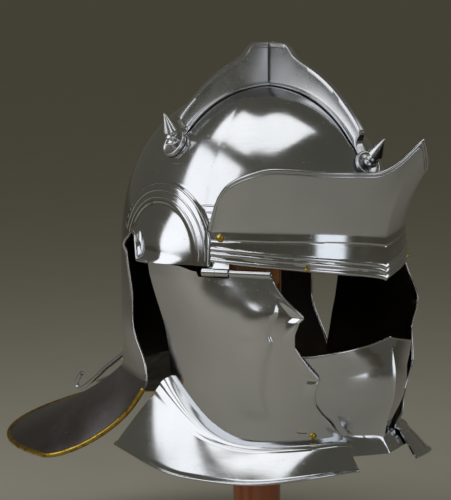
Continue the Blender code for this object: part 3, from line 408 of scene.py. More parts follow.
@dataclass(frozen=True)
class BandForm:
    """The brow band and the peak above it."""

    end: float = 68.0
    top: float = 0.0315
    top_dip: float = 0.004
    keel: float = 0.0022
    tip_reach: float = 0.036
    tip_height: float = 0.101
    rim_height: float = 0.077
    side_flare: float = 0.016
    flares: Table = ((0.0, 1.0), (0.04, 0.86), (0.09, 0.66), (0.16, 0.42), (0.26, 0.18), (0.40, 0.05),
                     (0.60, 0.0), (1.0, 0.0))
    sides: Table = ((0.0, 1.0), (0.72, 1.0), (0.84, 0.80), (0.92, 0.52), (0.97, 0.30), (1.0, 0.16))
    rises: Table = ((0.0, 1.0), (0.03, 0.76), (0.07, 0.40), (0.12, 0.10), (0.17, 0.0), (1.0, 0.0))
    heights: Table = ((0.0, 1.0), (0.35, 1.02), (0.52, 1.06), (0.64, 1.06), (0.74, 0.98), (0.82, 0.87),
                      (0.88, 0.74), (0.94, 0.50), (0.98, 0.20), (1.0, 0.02))

    def lower(self, angle: float) -> float:
        """The height of the band's lower edge."""
        return blend(-0.0045, 0.0095, min(abs(angle) / self.end, 1.0) ** 0.6)

    def upper(self, angle: float) -> float:
        """The height of the band's upper edge."""
        return self.top - self.top_dip * max(1.0 - abs(angle) / 30.0, 0.0) ** 2

    def keel_at(self, angle: float) -> float:
        """How far the band's middle stands forward in a blunt keel."""
        return self.keel * max(1.0 - abs(angle) / 9.0, 0.0) ** 1.25

    def relief(self, angle: float, height: float) -> float:
        """The raised beads along the lower edge and the scribed line over them."""
        over = height - self.lower(angle)
        beads = sum(0.0011 * bead(over - level, 0.0014) for level in (0.0016, 0.0062, 0.0098))
        return beads - 0.00035 * bead(height - self.upper(angle) + 0.0062, 0.0005)

    def radius(self, angle: float, height: float) -> float:
        """The radius of the band's outer face."""
        plain = BOWL.plan(angle) * BOWL.shrink(height, angle) ** 0.25
        return plain + GAP + SHEET + self.keel_at(angle) + self.relief(angle, height)

    def point(self, angle: float, height: float) -> Vector:
        """A point on the band's outer face."""
        return polar(angle, self.radius(angle, height), height)

    def rim(self, angle: float) -> tuple[float, float]:
        """How far the peak's rim stands out of the bowl's plan, and its height."""
        share = abs(angle) / self.end
        side = self.side_flare * read_curve(self.sides, share)
        flare = side + (self.tip_reach - self.side_flare) * read_curve(self.flares, share)
        height = (self.rim_height - self.top) * read_curve(self.heights, share) + self.top
        return flare, height + (self.tip_height - self.rim_height) * read_curve(self.rises, share)

    def peak(self, angle: float, share: float) -> Vector:
        """A point of the peak, from the band's upper edge (0) to the rim (1)."""
        start = self.point(angle, self.upper(angle))
        flare, height = self.rim(angle)
        end = polar(angle, BOWL.plan(angle) + GAP + SHEET + flare + self.keel_at(angle), height)
        point = start.lerp(end, share ** 1.35)
        point.z = blend(start.z, end.z, share)
        return point


BAND = BandForm()


@dataclass(frozen=True)
class CheekForm:
    """The cheek guards: scalloped plates with a flared collar, and the hinge that carries them."""

    depth: float = 0.121
    crease_rear: float = 0.086
    crease_dip: float = 0.005
    collar_depth: float = 0.151
    corner_rise: float = 0.009
    collar_front: float = 0.134
    collar_half_width: float = 0.118
    collar_rear_angle: float = 117.0
    collar_front_angle: float = 13.3
    hinge_level: float = 0.0015
    hinge_rear: tuple[float, float] = (0.0318, 0.0983)
    hinge_front: tuple[float, float] = (0.0778, 0.0713)
    hinge_share: float = 0.40
    knuckle: float = 0.0031
    pin: float = 0.0012
    flange: float = 0.0030
    flange_width: float = 0.0075
    scallop_pitch: float = 0.386
    scallop_phase: float = 0.61
    step: float = 0.0016
    plans: Sequence[tuple[float, float, float, float]] = (
        (0.0, 0.1222, 0.1052, 1.65), (0.24, 0.1270, 0.1000, 1.90), (0.62, 0.1240, 0.0905, 2.0),
        (1.0, 0.1170, 0.0850, 2.0))
    rears: Table = ((0.0, 103.0), (0.16, 102.4), (0.34, 101.6), (0.52, 101.2), (0.80, 102.2), (1.0, 103.5))
    fronts: Table = ((0.0, 42.0), (0.045, 41.2), (0.115, 38.2), (0.166, 35.2), (0.236, 31.0), (0.262, 32.8),
                     (0.342, 34.2), (0.417, 34.0), (0.479, 31.8), (0.547, 28.8), (0.622, 24.9), (0.650, 25.9),
                     (0.723, 26.5), (0.788, 25.6), (0.851, 22.9), (0.924, 19.0), (1.0, 14.6))
    even_fronts: Table = ((0.0, 42.0), (0.25, 34.6), (0.45, 32.2), (0.62, 27.4), (0.85, 22.8), (1.0, 14.6))
    step_line: Table = ((0.13, 40.5), (0.202, 40.7), (0.273, 42.7), (0.348, 43.4), (0.392, 42.4),
                        (0.485, 44.2), (0.602, 45.6), (0.731, 45.8), (0.811, 44.2), (0.87, 42.0))

    def hinge(self, side: Side) -> tuple[Vector, Vector]:
        """The hinge's middle points at its rear and front ends."""
        rear = place(self.hinge_rear[0], self.hinge_rear[1] * side.value, self.hinge_level)
        return rear, place(self.hinge_front[0], self.hinge_front[1] * side.value, self.hinge_level)

    def top(self, angle: float) -> float:
        """The height of the guard's upper edge at an angle."""
        rear, front = self.hinge(Side.LEFT)
        split = angle_of(rear.lerp(front, self.hinge_share))
        if angle <= split - 0.6:
            return self.hinge_level - (self.knuckle + self.pin) * 0.48
        if angle <= angle_of(rear) + 2.0:
            return self.hinge_level - self.knuckle - 2.0 * GAP
        return blend(self.hinge_level, 0.0045, smooth((angle - angle_of(rear) - 2.0) / 10.0))

    def crease(self, column: float) -> float:
        """How deep the collar's crease lies, from the rear (0) to the front (1) of the guard."""
        dip = self.crease_dip * math.sin(math.pi * min(column / 0.95, 1.0))
        return blend(self.crease_rear, self.depth, math.sin(math.pi / 2.0 * min(column / 0.6, 1.0))) + dip

    def face(self, angle: float, share: float) -> float:
        """The radius of the guard's outer face at a share of its depth."""
        front, width, square = (read_curve([(row[0], row[i]) for row in self.plans], share) for i in (1, 2, 3))
        return oval(angle, front, BOWL.back, width, square, BOWL.nape_squareness)

    def even_column(self, angle: float, share: float) -> float:
        """The place between the rear (0) and the front (1), as if the front edge had no scallops."""
        rear = read_curve(self.rears, share)
        return min(max((rear - angle) / (rear - read_curve(self.even_fronts, share)), 0.0), 1.0)

    def collar(self, angle: float) -> float:
        """The radius of the collar's lower edge."""
        return oval(angle, self.collar_front, BOWL.back * 1.12, self.collar_half_width, 2.0,
                    BOWL.nape_squareness)

    def at_depth(self, angle: float, depth: float) -> float:
        """The radius of the guard's outer face at a depth under the brow."""
        angle = abs(angle)
        crease = self.depth
        for _ in range(4):
            share = min(depth / crease, 1.0)
            rear, front = read_table(self.rears, share), read_table(self.fronts, share)
            crease = self.crease(min(max((rear - angle) / (rear - front), 0.0), 1.0))
        inner = self.face(angle, min(depth / crease, 1.0))
        if depth <= crease:
            return inner
        part = (depth - crease) / (self.collar_depth - self.corner_rise - crease)
        return blend(inner, self.collar(angle), max(part, 0.0) ** (0.85 / 1.1))

    def relief(self, angle: float, share: float) -> float:
        """The turned flange along the front edge and the embossed step behind it."""
        radius = 0.1
        ahead = math.radians(angle - read_table(self.fronts, share)) * radius
        wave = 0.55 + 0.45 * math.cos(math.tau * (share / self.scallop_pitch - self.scallop_phase))
        flange = self.flange * wave * (1.0 - smooth(ahead / self.flange_width)) * smooth(share / 0.05)
        flange *= 1.0 - smooth((share - 0.9) / 0.1)
        behind = math.radians(angle - read_curve(self.step_line, share)) * radius
        ends = smooth((share - 0.12) / 0.09) * (1.0 - smooth((share - 0.80) / 0.08))
        rise = smooth((behind + self.step) / (2.0 * self.step))
        step = self.step * rise * (1.0 - smooth((behind - 0.006) / 0.020)) * ends
        return flange + step

    def point(self, side: Side, column: float, share: float) -> Vector:
        """A point of a guard: column from rear to front, share 0 to 1 on the cheek, 1 to 2 on the collar."""
        if share <= 1.0:
            angle = blend(read_table(self.rears, share), read_table(self.fronts, share), column)
            radius = self.face(angle, share) + self.relief(angle, share)
            crease = self.crease(self.even_column(angle, share))
            height = -share * crease
            if share < 0.06:
                height = blend(self.top(angle), -0.06 * crease, share / 0.06)
        else:
            part = share - 1.0
            rear = blend(self.rears[-1][1], self.collar_rear_angle, part ** 1.1)
            angle = blend(rear, blend(self.fronts[-1][1], self.collar_front_angle, part), column)
            beads = 0.0016 * math.sin(math.pi * min(part / 0.2, 1.0)) + 0.0009 * bead(part - 0.085, 0.05)
            beads += 0.0007 * bead(part - 0.215, 0.05) + 0.0011 * bead(part - 0.975, 0.045)
            radius = blend(self.face(angle, 1.0), self.collar(angle), part ** 0.85) + beads
            bottom = self.collar_depth - self.corner_rise * (smooth((column - 0.6) / 0.4)
                                                             + smooth(1.0 - column / 0.4))
            height = -blend(self.crease(column), bottom, part ** 1.1)
        return polar(angle * side.value, radius, height)


CHEEK = CheekForm()


@dataclass(frozen=True)
class ChinForm:
    """The keeled plate that closes the chin between the cheek guards."""

    lap_right: float = 4.5
    lap_right_foot: float = 1.0
    lap_left: float = 8.0
    edge_margin: float = 3.4
    clearance: float = 0.0016
    seat: float = 0.0009
    collar_clearance: float = 0.0012
    ridge_reach: float = 0.136
    top: float = 0.046
    top_side: float = 0.059
    bottom: float = 0.133
    ridge: Table = ((0.0, 0.958), (0.10, 0.975), (0.30, 1.0), (0.52, 0.990), (0.66, 0.955), (0.84, 0.925),
                    (0.90, 0.925), (1.0, 0.965))
    solid_fronts: Table = ((0.0, 42.0), (0.06, 41.0), (0.24, 31.2), (0.35, 34.0), (0.44, 33.3), (0.54, 28.5),
                           (0.62, 24.6), (0.71, 25.4), (0.80, 23.8), (0.91, 18.5), (1.0, 14.3))

    def edge(self, share: float) -> float:
        """The angle of the cheek guards' front edge at a share of the plate's depth."""
        depth = blend(self.top_side, self.bottom, share)
        return read_table(self.solid_fronts, min(depth / CHEEK.depth, 1.0))

    def point(self, angle: float, share: float) -> Vector:
        """A point of the plate, from its upper edge (0) to its lower (1)."""
        side = min(abs(angle) / (self.edge(share) - self.edge_margin), 1.0)
        depth = blend(blend(self.top, self.top_side, side ** 0.8), self.bottom, share)
        clear = self.clearance if angle < 0.0 else self.seat
        clear += self.collar_clearance * smooth((depth - CHEEK.depth + 0.018) / 0.012)
        inside = CHEEK.at_depth(angle, depth) - SHEET - clear
        ridge = self.ridge_reach * read_curve(self.ridge, share)
        return polar(angle, blend(ridge, inside, side ** 0.75), -depth)

    def angles(self, share: float) -> list[float]:
        """The angles of a row's columns from the right edge to the left, the last ones under the guards."""
        edge = self.edge(share)
        right = blend(self.lap_right, self.lap_right_foot, share)
        bare = [s ** 1.25 * (edge - self.edge_margin) for s in spread(0.0, 1.0, 26)]
        lapped_right = spread(bare[-1], edge + right, 6)[1:]
        lapped_left = spread(bare[-1], edge + self.lap_left, 6)[1:]
        return [-a for a in reversed(bare[1:] + lapped_right)] + bare + lapped_left


CHIN = ChinForm()


def srgb(code: str) -> tuple[float, float, float, float]:
    """A colour given as an sRGB hex code, in linear light.

    Args:
        code: six hex digits after a hash sign.

    Returns:
        Red, green, blue and alpha.
    """
    parts = [int(code[i:i + 2], 16) / 255.0 for i in (1, 3, 5)]
    linear = [p / 12.92 if p <= 0.04045 else ((p + 0.055) / 1.055) ** 2.4 for p in parts]
    return linear[0], linear[1], linear[2], 1.0


def add_node(tree: bpy.types.NodeTree, kind: str, inputs: dict[Any, Any] | None = None,
             **settings: Any) -> bpy.types.Node:
    """Adds a node with its settings, and its inputs as values or links.

    Args:
        tree: the tree that takes the node.
        kind: the node's type name.
        inputs: for each input's name or number, a value or another node's output.
        settings: the node's own settings.

    Returns:
        The node.
    """
    node = tree.nodes.new(kind)
    for name, value in settings.items():
        setattr(node, name, value)
    for key, value in (inputs or {}).items():
        if isinstance(value, bpy.types.NodeSocket):
            tree.links.new(value, node.inputs[key])
        else:
            node.inputs[key].default_value = value
    return node


def new_material(name: str) -> tuple[bpy.types.Material, bpy.types.NodeTree, bpy.types.Node,
                                     bpy.types.NodeSocket]:
    """A material with its Principled shader and the object's own coordinates.

    Args:
        name: the material's name.

    Returns:
        The material, its tree, its shader and the coordinates' output.
    """
    material = bpy.data.materials.new(name)
    material.use_nodes = True
    tree = material.node_tree
    place_node = add_node(tree, "ShaderNodeTexCoord")
    return material, tree, tree.nodes["Principled BSDF"], place_node.outputs["Object"]


@dataclass(frozen=True)
class SteelFinish:
    """Raised sheet steel: planished, then ground in rings and polished, with wear from handling."""

    name: str
    light: str
    deep: str
    rough_low: float
    rough_high: float
    planish: float = 0.00012
    planish_pitch: float = 0.034
    brush: float = 0.000010
    brush_pitch: float = 0.0007
    scratch: float = 0.000016

    def build(self) -> bpy.types.Material:
        """Makes the material.

        Returns:
            A metal whose reflections waver over hammer marks, blur along grinding and break at scratches.
        """
        material, tree, shader, spot = new_material(self.name)
        # Planishing marks, one hammer face across, that make the reflections waver
        marks = add_node(tree, "ShaderNodeTexNoise", {"Vector": spot, "Scale": 1.0 / self.planish_pitch,
                                                      "Detail": 1.5, "Roughness": 0.4})
        # Grinding lines run level round the piece; real grit is finer and is drawn as coarse as shows
        rings = add_node(tree, "ShaderNodeMapping", {"Vector": spot, "Scale": (1.0, 1.0, 26.0)})
        lines = add_node(tree, "ShaderNodeTexNoise", {"Vector": rings.outputs[0], "Detail": 4.0,
                                                      "Roughness": 0.6, "Scale": 1.0 / (self.brush_pitch * 26.0)})
        # Stray scratches across the grinding
        slant = add_node(tree, "ShaderNodeMapping", {"Vector": spot, "Rotation": (0.5, 0.9, 0.3),
                                                     "Scale": (4.0, 90.0, 90.0)})
        stray = add_node(tree, "ShaderNodeTexNoise", {"Vector": slant.outputs[0], "Scale": 9.0, "Detail": 2.0})
        scratches = add_node(tree, "ShaderNodeMapRange", {"Value": stray.outputs[0], "From Min": 0.69,
                                                          "From Max": 0.76})
        # Hand marks and faint haze left by handling
        haze = add_node(tree, "ShaderNodeTexNoise", {"Vector": spot, "Scale": 22.0, "Detail": 6.0,
                                                     "Roughness": 0.62, "Distortion": 0.6})
        hazed = add_node(tree, "ShaderNodeMapRange", {"Value": haze.outputs[0], "From Min": 0.40,
                                                      "From Max": 0.68, "To Min": self.rough_low,
                                                      "To Max": self.rough_high})
        # Pin-prick pits in the sheet
        pits = add_node(tree, "ShaderNodeTexVoronoi", {"Vector": spot, "Scale": 420.0, "Randomness": 1.0})
        pitted = add_node(tree, "ShaderNodeMapRange", {"Value": pits.outputs["Distance"], "From Min": 0.05,
                                                       "From Max": 0.10, "To Min": 0.10, "To Max": 0.0})
        worn = add_node(tree, "ShaderNodeMath", {0: scratches.outputs[0], 1: 0.16, 2: hazed.outputs[0]},
                        operation="MULTIPLY_ADD")
        rough = add_node(tree, "ShaderNodeMath", {0: lines.outputs[0], 1: 0.10, 2: worn.outputs[0]},
                         operation="MULTIPLY_ADD")
        full = add_node(tree, "ShaderNodeMath", {0: rough.outputs[0], 1: pitted.outputs[0]}, operation="ADD",
                        use_clamp=True)
        tint = add_node(tree, "ShaderNodeTexNoise", {"Vector": spot, "Scale": 7.0, "Detail": 3.0})
        share = add_node(tree, "ShaderNodeMapRange", {"Value": tint.outputs[0], "From Min": 0.35,
                                                      "From Max": 0.65})
        colour = add_node(tree, "ShaderNodeMix", {0: share.outputs[0], 6: srgb(self.light), 7: srgb(self.deep)},
                          data_type="RGBA")
        wave = add_node(tree, "ShaderNodeBump", {"Height": marks.outputs[0], "Strength": 1.0,
                                                 "Distance": self.planish})
        ground = add_node(tree, "ShaderNodeBump", {"Height": lines.outputs[0], "Strength": 1.0,
                                                   "Distance": self.brush, "Normal": wave.outputs[0]})
        cut = add_node(tree, "ShaderNodeBump", {"Height": scratches.outputs[0], "Strength": 1.0,
                                                "Distance": -self.scratch, "Normal": ground.outputs[0]})
        shader.inputs["Metallic"].default_value = 1.0
        tree.links.new(colour.outputs[2], shader.inputs["Base Color"])
        tree.links.new(full.outputs[0], shader.inputs["Roughness"])
        tree.links.new(cut.outputs[0], shader.inputs["Normal"])
        return material


@dataclass(frozen=True)
class BrassFinish:
    """Rolled brass, rubbed bright on its high places and browned in its hollows."""

    name: str = "worn_brass"
    bright: str = "#C2A64C"
    brown: str = "#6A5420"

    def build(self) -> bpy.types.Material:
        """Makes the material.

        Returns:
            A yellow metal with brown tarnish in patches a few millimetres wide.
        """
        material, tree, shader, spot = new_material(self.name)
        patches = add_node(tree, "ShaderNodeTexNoise", {"Vector": spot, "Scale": 130.0, "Detail": 5.0,
                                                        "Roughness": 0.65})
        tarnish = add_node(tree, "ShaderNodeMapRange", {"Value": patches.outputs[0], "From Min": 0.46,
                                                        "From Max": 0.70})
        colour = add_node(tree, "ShaderNodeMix", {0: tarnish.outputs[0], 6: srgb(self.bright),
                                                  7: srgb(self.brown)}, data_type="RGBA")
        rough = add_node(tree, "ShaderNodeMapRange", {"Value": patches.outputs[0], "From Min": 0.35,
                                                      "From Max": 0.70, "To Min": 0.22, "To Max": 0.46})
        dents = add_node(tree, "ShaderNodeTexNoise", {"Vector": spot, "Scale": 300.0, "Detail": 2.0})
        bump = add_node(tree, "ShaderNodeBump", {"Height": dents.outputs[0], "Strength": 1.0,
                                                 "Distance": 0.00008})
        shader.inputs["Metallic"].default_value = 1.0
        tree.links.new(colour.outputs[2], shader.inputs["Base Color"])
        tree.links.new(rough.outputs[0], shader.inputs["Roughness"])
        tree.links.new(bump.outputs[0], shader.inputs["Normal"])
        return material


@dataclass(frozen=True)
class LeatherFinish:
    """Vegetable-tanned cowhide, grain side out: small pebbles about 1 mm across and darker creases."""

    name: str = "tan_leather"
    light: str = "#C68A4C"
    dark: str = "#8A5527"

    def build(self) -> bpy.types.Material:
        """Makes the material.

        Returns:
            A matt tan with a pebbled grain.
        """
        material, tree, shader, spot = new_material(self.name)
        grain = add_node(tree, "ShaderNodeTexVoronoi", {"Vector": spot, "Scale": 900.0, "Randomness": 1.0})
        blotch = add_node(tree, "ShaderNodeTexNoise", {"Vector": spot, "Scale": 160.0, "Detail": 5.0})
        share = add_node(tree, "ShaderNodeMath", {0: blotch.outputs[0], 1: grain.outputs["Distance"]},
                         operation="MULTIPLY", use_clamp=True)
        colour = add_node(tree, "ShaderNodeMix", {0: share.outputs[0], 6: srgb(self.dark), 7: srgb(self.light)},
                          data_type="RGBA")
        rough = add_node(tree, "ShaderNodeMapRange", {"Value": blotch.outputs[0], "To Min": 0.50,
                                                      "To Max": 0.72})
        bump = add_node(tree, "ShaderNodeBump", {"Height": grain.outputs["Distance"], "Strength": 0.8,
                                                 "Distance": 0.0003})
        tree.links.new(colour.outputs[2], shader.inputs["Base Color"])
        tree.links.new(rough.outputs[0], shader.inputs["Roughness"])
        tree.links.new(bump.outputs[0], shader.inputs["Normal"])
        return material


@dataclass(frozen=True)
class VarnishedWoodFinish:
    """Turned softwood under an orange-brown varnish: long grain up the post, pores, and a clear gloss coat."""

    name: str = "varnished_pine"
    light: str = "#C4682C"
    dark: str = "#6E2C10"

    def build(self) -> bpy.types.Material:
        """Makes the material.

        Returns:
            A warm brown wood with growth rings that run up the post, glossy from its varnish.
        """
        material, tree, shader, spot = new_material(self.name)
        stretched = add_node(tree, "ShaderNodeMapping", {"Vector": spot, "Scale": (1.0, 1.0, 0.07),
                                                         "Location": (0.031, 0.017, 0.0)})
        rings = add_node(tree, "ShaderNodeTexWave", {"Vector": stretched.outputs[0], "Scale": 42.0,
                                                     "Distortion": 4.5, "Detail": 3.0, "Detail Scale": 1.6},
                         wave_type="RINGS", rings_direction="Z")
        fibre_place = add_node(tree, "ShaderNodeMapping", {"Vector": spot, "Scale": (1.0, 1.0, 0.03)})
        fibres = add_node(tree, "ShaderNodeTexNoise", {"Vector": fibre_place.outputs[0], "Scale": 900.0,
                                                       "Detail": 4.0})
        share = add_node(tree, "ShaderNodeMath", {0: rings.outputs[1], 1: fibres.outputs[0]},
                         operation="MULTIPLY", use_clamp=True)
        colour = add_node(tree, "ShaderNodeMix", {0: share.outputs[0], 6: srgb(self.light), 7: srgb(self.dark)},
                          data_type="RGBA")
        rough = add_node(tree, "ShaderNodeMapRange", {"Value": fibres.outputs[0], "To Min": 0.34,
                                                      "To Max": 0.52})
        bump = add_node(tree, "ShaderNodeBump", {"Height": fibres.outputs[0], "Strength": 0.6,
                                                 "Distance": 0.00012})
        tree.links.new(colour.outputs[2], shader.inputs["Base Color"])
        tree.links.new(rough.outputs[0], shader.inputs["Roughness"])
        tree.links.new(bump.outputs[0], shader.inputs["Normal"])
        shader.inputs["Coat Weight"].default_value = 0.7
        shader.inputs["Coat Roughness"].default_value = 0.12
        return material


@dataclass(frozen=True)
class PaperFinish:
    """Matt studio paper with a faint tooth."""

    name: str = "pale_studio_paper"
    light: str = "#CFCABD"
    dark: str = "#C6C1B3"

    def build(self) -> bpy.types.Material:
        """Makes the material.

        Returns:
            A pale matt surface.
        """
        material, tree, shader, spot = new_material(self.name)
        tooth = add_node(tree, "ShaderNodeTexNoise", {"Vector": spot, "Scale": 14.0, "Detail": 6.0})
        colour = add_node(tree, "ShaderNodeMix", {0: tooth.outputs[0], 6: srgb(self.light), 7: srgb(self.dark)},
                          data_type="RGBA")
        tree.links.new(colour.outputs[2], shader.inputs["Base Color"])
        shader.inputs["Roughness"].default_value = 0.9
        return material


@dataclass(frozen=True)
class Finishes:
    """Every finish of the helmet and its stand."""

    polished: bpy.types.Material
    crest: bpy.types.Material
    satin: bpy.types.Material
    inside: bpy.types.Material
    brass: bpy.types.Material
    leather: bpy.types.Material
    wood: bpy.types.Material

    @classmethod
    def make(cls) -> "Finishes":
        """Builds every finish once."""
        return cls(
            polished=SteelFinish("mirror_polished_steel", "#D6D8DB", "#C3C6CA", 0.06, 0.15).build(),
            crest=SteelFinish("brushed_polished_steel", "#D8D9DB", "#C4C6C9", 0.20, 0.32, planish=0.00003,
                              brush=0.000016).build(),
            satin=SteelFinish("satin_ground_steel", "#8B8688", "#6E696C", 0.28, 0.44, planish=0.00005,
                              brush=0.000020).build(),
            # The inner faces are painted near black: painted shade of the helmet's hollow inside, laid over the
            # steel's own colour
            inside=SteelFinish("unpolished_steel_inside", "#3A3630", "#24211C", 0.42, 0.64,
                               planish=0.00020).build(),
            brass=BrassFinish().build(), leather=LeatherFinish().build(), wood=VarnishedWoodFinish().build())


def finish_mesh(name: str, bm: bmesh.types.BMesh, materials: Sequence[bpy.types.Material],
                angle: float = 40.0) -> bpy.types.Object:
    """Turns a bmesh into a smooth shaded object.

    Args:
        name: the object's name.
        bm: the mesh, freed here.
        materials: its materials.
        angle: edges sharper than this many degrees stay sharp.

    Returns:
        The object.
    """
    mesh = bpy.data.meshes.new(name)
    bm.to_mesh(mesh)
    bm.free()
    for material in materials:
        mesh.materials.append(material)
    mesh.shade_smooth()
    mesh.set_sharp_from_angle(angle=math.radians(angle))
    item = bpy.data.objects.new(name, mesh)
    bpy.context.scene.collection.objects.link(item)
    return item


def bake(item: bpy.types.Object, angle: float = 40.0) -> bpy.types.Object:
    """Makes an object's evaluated result its plain mesh and drops its modifiers.

    Args:
        item: the object.
        angle: edges sharper than this many degrees stay sharp.

    Returns:
        The same object.
    """
    graph = bpy.context.evaluated_depsgraph_get()
    result = item.evaluated_get(graph)
    mesh = bpy.data.meshes.new_from_object(result, preserve_all_data_layers=True, depsgraph=graph)
    item.modifiers.clear()
    old = item.data
    item.data = mesh
    mesh.name = item.name
    bpy.data.meshes.remove(old)
    mesh.shade_smooth()
    mesh.set_sharp_from_angle(angle=math.radians(angle))
    return item


def make_sheet(name: str, rows: Sequence[Row], outer: bpy.types.Material, inner: bpy.types.Material,
               thickness: float = SHEET, angle: float = 40.0) -> bpy.types.Object:
    """A walled sheet through rows of points, top to bottom, each turning to the left seen from above.

    Args:
        name: the object's name.
        rows: rows of the outer face.
        outer: the outer face's material.
        inner: the inner face's material.
        thickness: the wall, inwards from the outer face.
        angle: edges sharper than this many degrees stay sharp.

    Returns:
        The object.
    """
    bm = bmesh.new()
    made = [[bm.verts.new(p) for p in row] for row in rows]
    for above, below in zip(made, made[1:]):
        add_strip(bm, above, below)
    item = finish_mesh(name, bm, (outer, inner), angle)
    add_wall(item, thickness)
    return bake(item, angle)


def add_wall(item: bpy.types.Object, thickness: float) -> None:
    """Gives a sheet its thickness, inwards, with the next material on its inner face.

    Args:
        item: the sheet.
        thickness: the wall.
    """
    wall = item.modifiers.new("wall", "SOLIDIFY")
    wall.thickness = thickness
    wall.offset = -1.0
    wall.use_even_offset = False
    wall.material_offset = 1


def add_strip(bm: bmesh.types.BMesh, above: list, below: list) -> list:
    """Faces between two open rows.

    Args:
        bm: the mesh.
        above: the upper row's points.
        below: the lower row's points.

    Returns:
        The faces.
    """
    return [bm.faces.new((a, c, d, b)) for (a, b), (c, d) in zip(zip(above, above[1:]), zip(below, below[1:]))]


def join_rings(bm: bmesh.types.BMesh, ring: list, following: list) -> None:
    """Faces between two closed rings.

    Args:
        bm: the mesh.
        ring: the first ring's points.
        following: the second ring's points.
    """
    for i in range(len(ring)):
        j = (i + 1) % len(ring)
        bm.faces.new((ring[i], ring[j], following[j], following[i]))


def turned(name: str, profile: Sequence[tuple[float, float]], sides: int, material: bpy.types.Material,
           origin: Vector, direction: Vector, angle: float = 40.0) -> bpy.types.Object:
    """A solid turned about an axis.

    Args:
        name: the object's name.
        profile: rows of (radius, distance along the axis).
        sides: how many sides the turning has.
        material: its finish.
        origin: where the axis starts.
        direction: where the axis points.
        angle: edges sharper than this many degrees stay sharp.

    Returns:
        The object.
    """
    bm = bmesh.new()
    rings = []
    for radius, along in profile:
        steps = [math.tau * i / sides for i in range(sides)] if radius > 1e-6 else [0.0]
        rings.append([bm.verts.new((radius * math.cos(t), radius * math.sin(t), along)) for t in steps])
    for first, second in zip(rings, rings[1:]):
        if len(first) > 1 and len(second) > 1:
            join_rings(bm, first, second)
            continue
        ring, point = (first, second[0]) if len(first) > 1 else (second, first[0])
        for i in range(sides):
            bm.faces.new((ring[i], ring[(i + 1) % sides], point))
    for ring in (rings[0], rings[-1]):
        if len(ring) > 1:
            bm.faces.new(ring)
    turn = direction.to_track_quat("Z", "Y").to_matrix().to_4x4()
    bmesh.ops.transform(bm, matrix=Matrix.Translation(origin) @ turn, verts=bm.verts)
    bmesh.ops.recalc_face_normals(bm, faces=bm.faces)
    return finish_mesh(name, bm, (material,), angle)


def merge(name: str, items: Sequence[bpy.types.Object]) -> bpy.types.Object:
    """Joins objects into one, each with its own materials.

    Args:
        name: the joined object's name.
        items: the objects, removed here.

    Returns:
        The joined object.
    """
    bm = bmesh.new()
    materials: list[bpy.types.Material] = []
    for item in items:
        slots = [slot.material for slot in item.material_slots]
        for material in slots:
            if material not in materials:
                materials.append(material)
        first = len(bm.faces)
        bm.from_mesh(item.data)
        bm.faces.ensure_lookup_table()
        for face in bm.faces[first:]:
            face.material_index = materials.index(slots[face.material_index])
    mesh = bpy.data.meshes.new(name)
    bm.to_mesh(mesh)
    bm.free()
    for material in materials:
        mesh.materials.append(material)
    for item in items:
        bpy.data.objects.remove(item, do_unlink=True)
    joined = bpy.data.objects.new(name, mesh)
    bpy.context.scene.collection.objects.link(joined)
    return joined


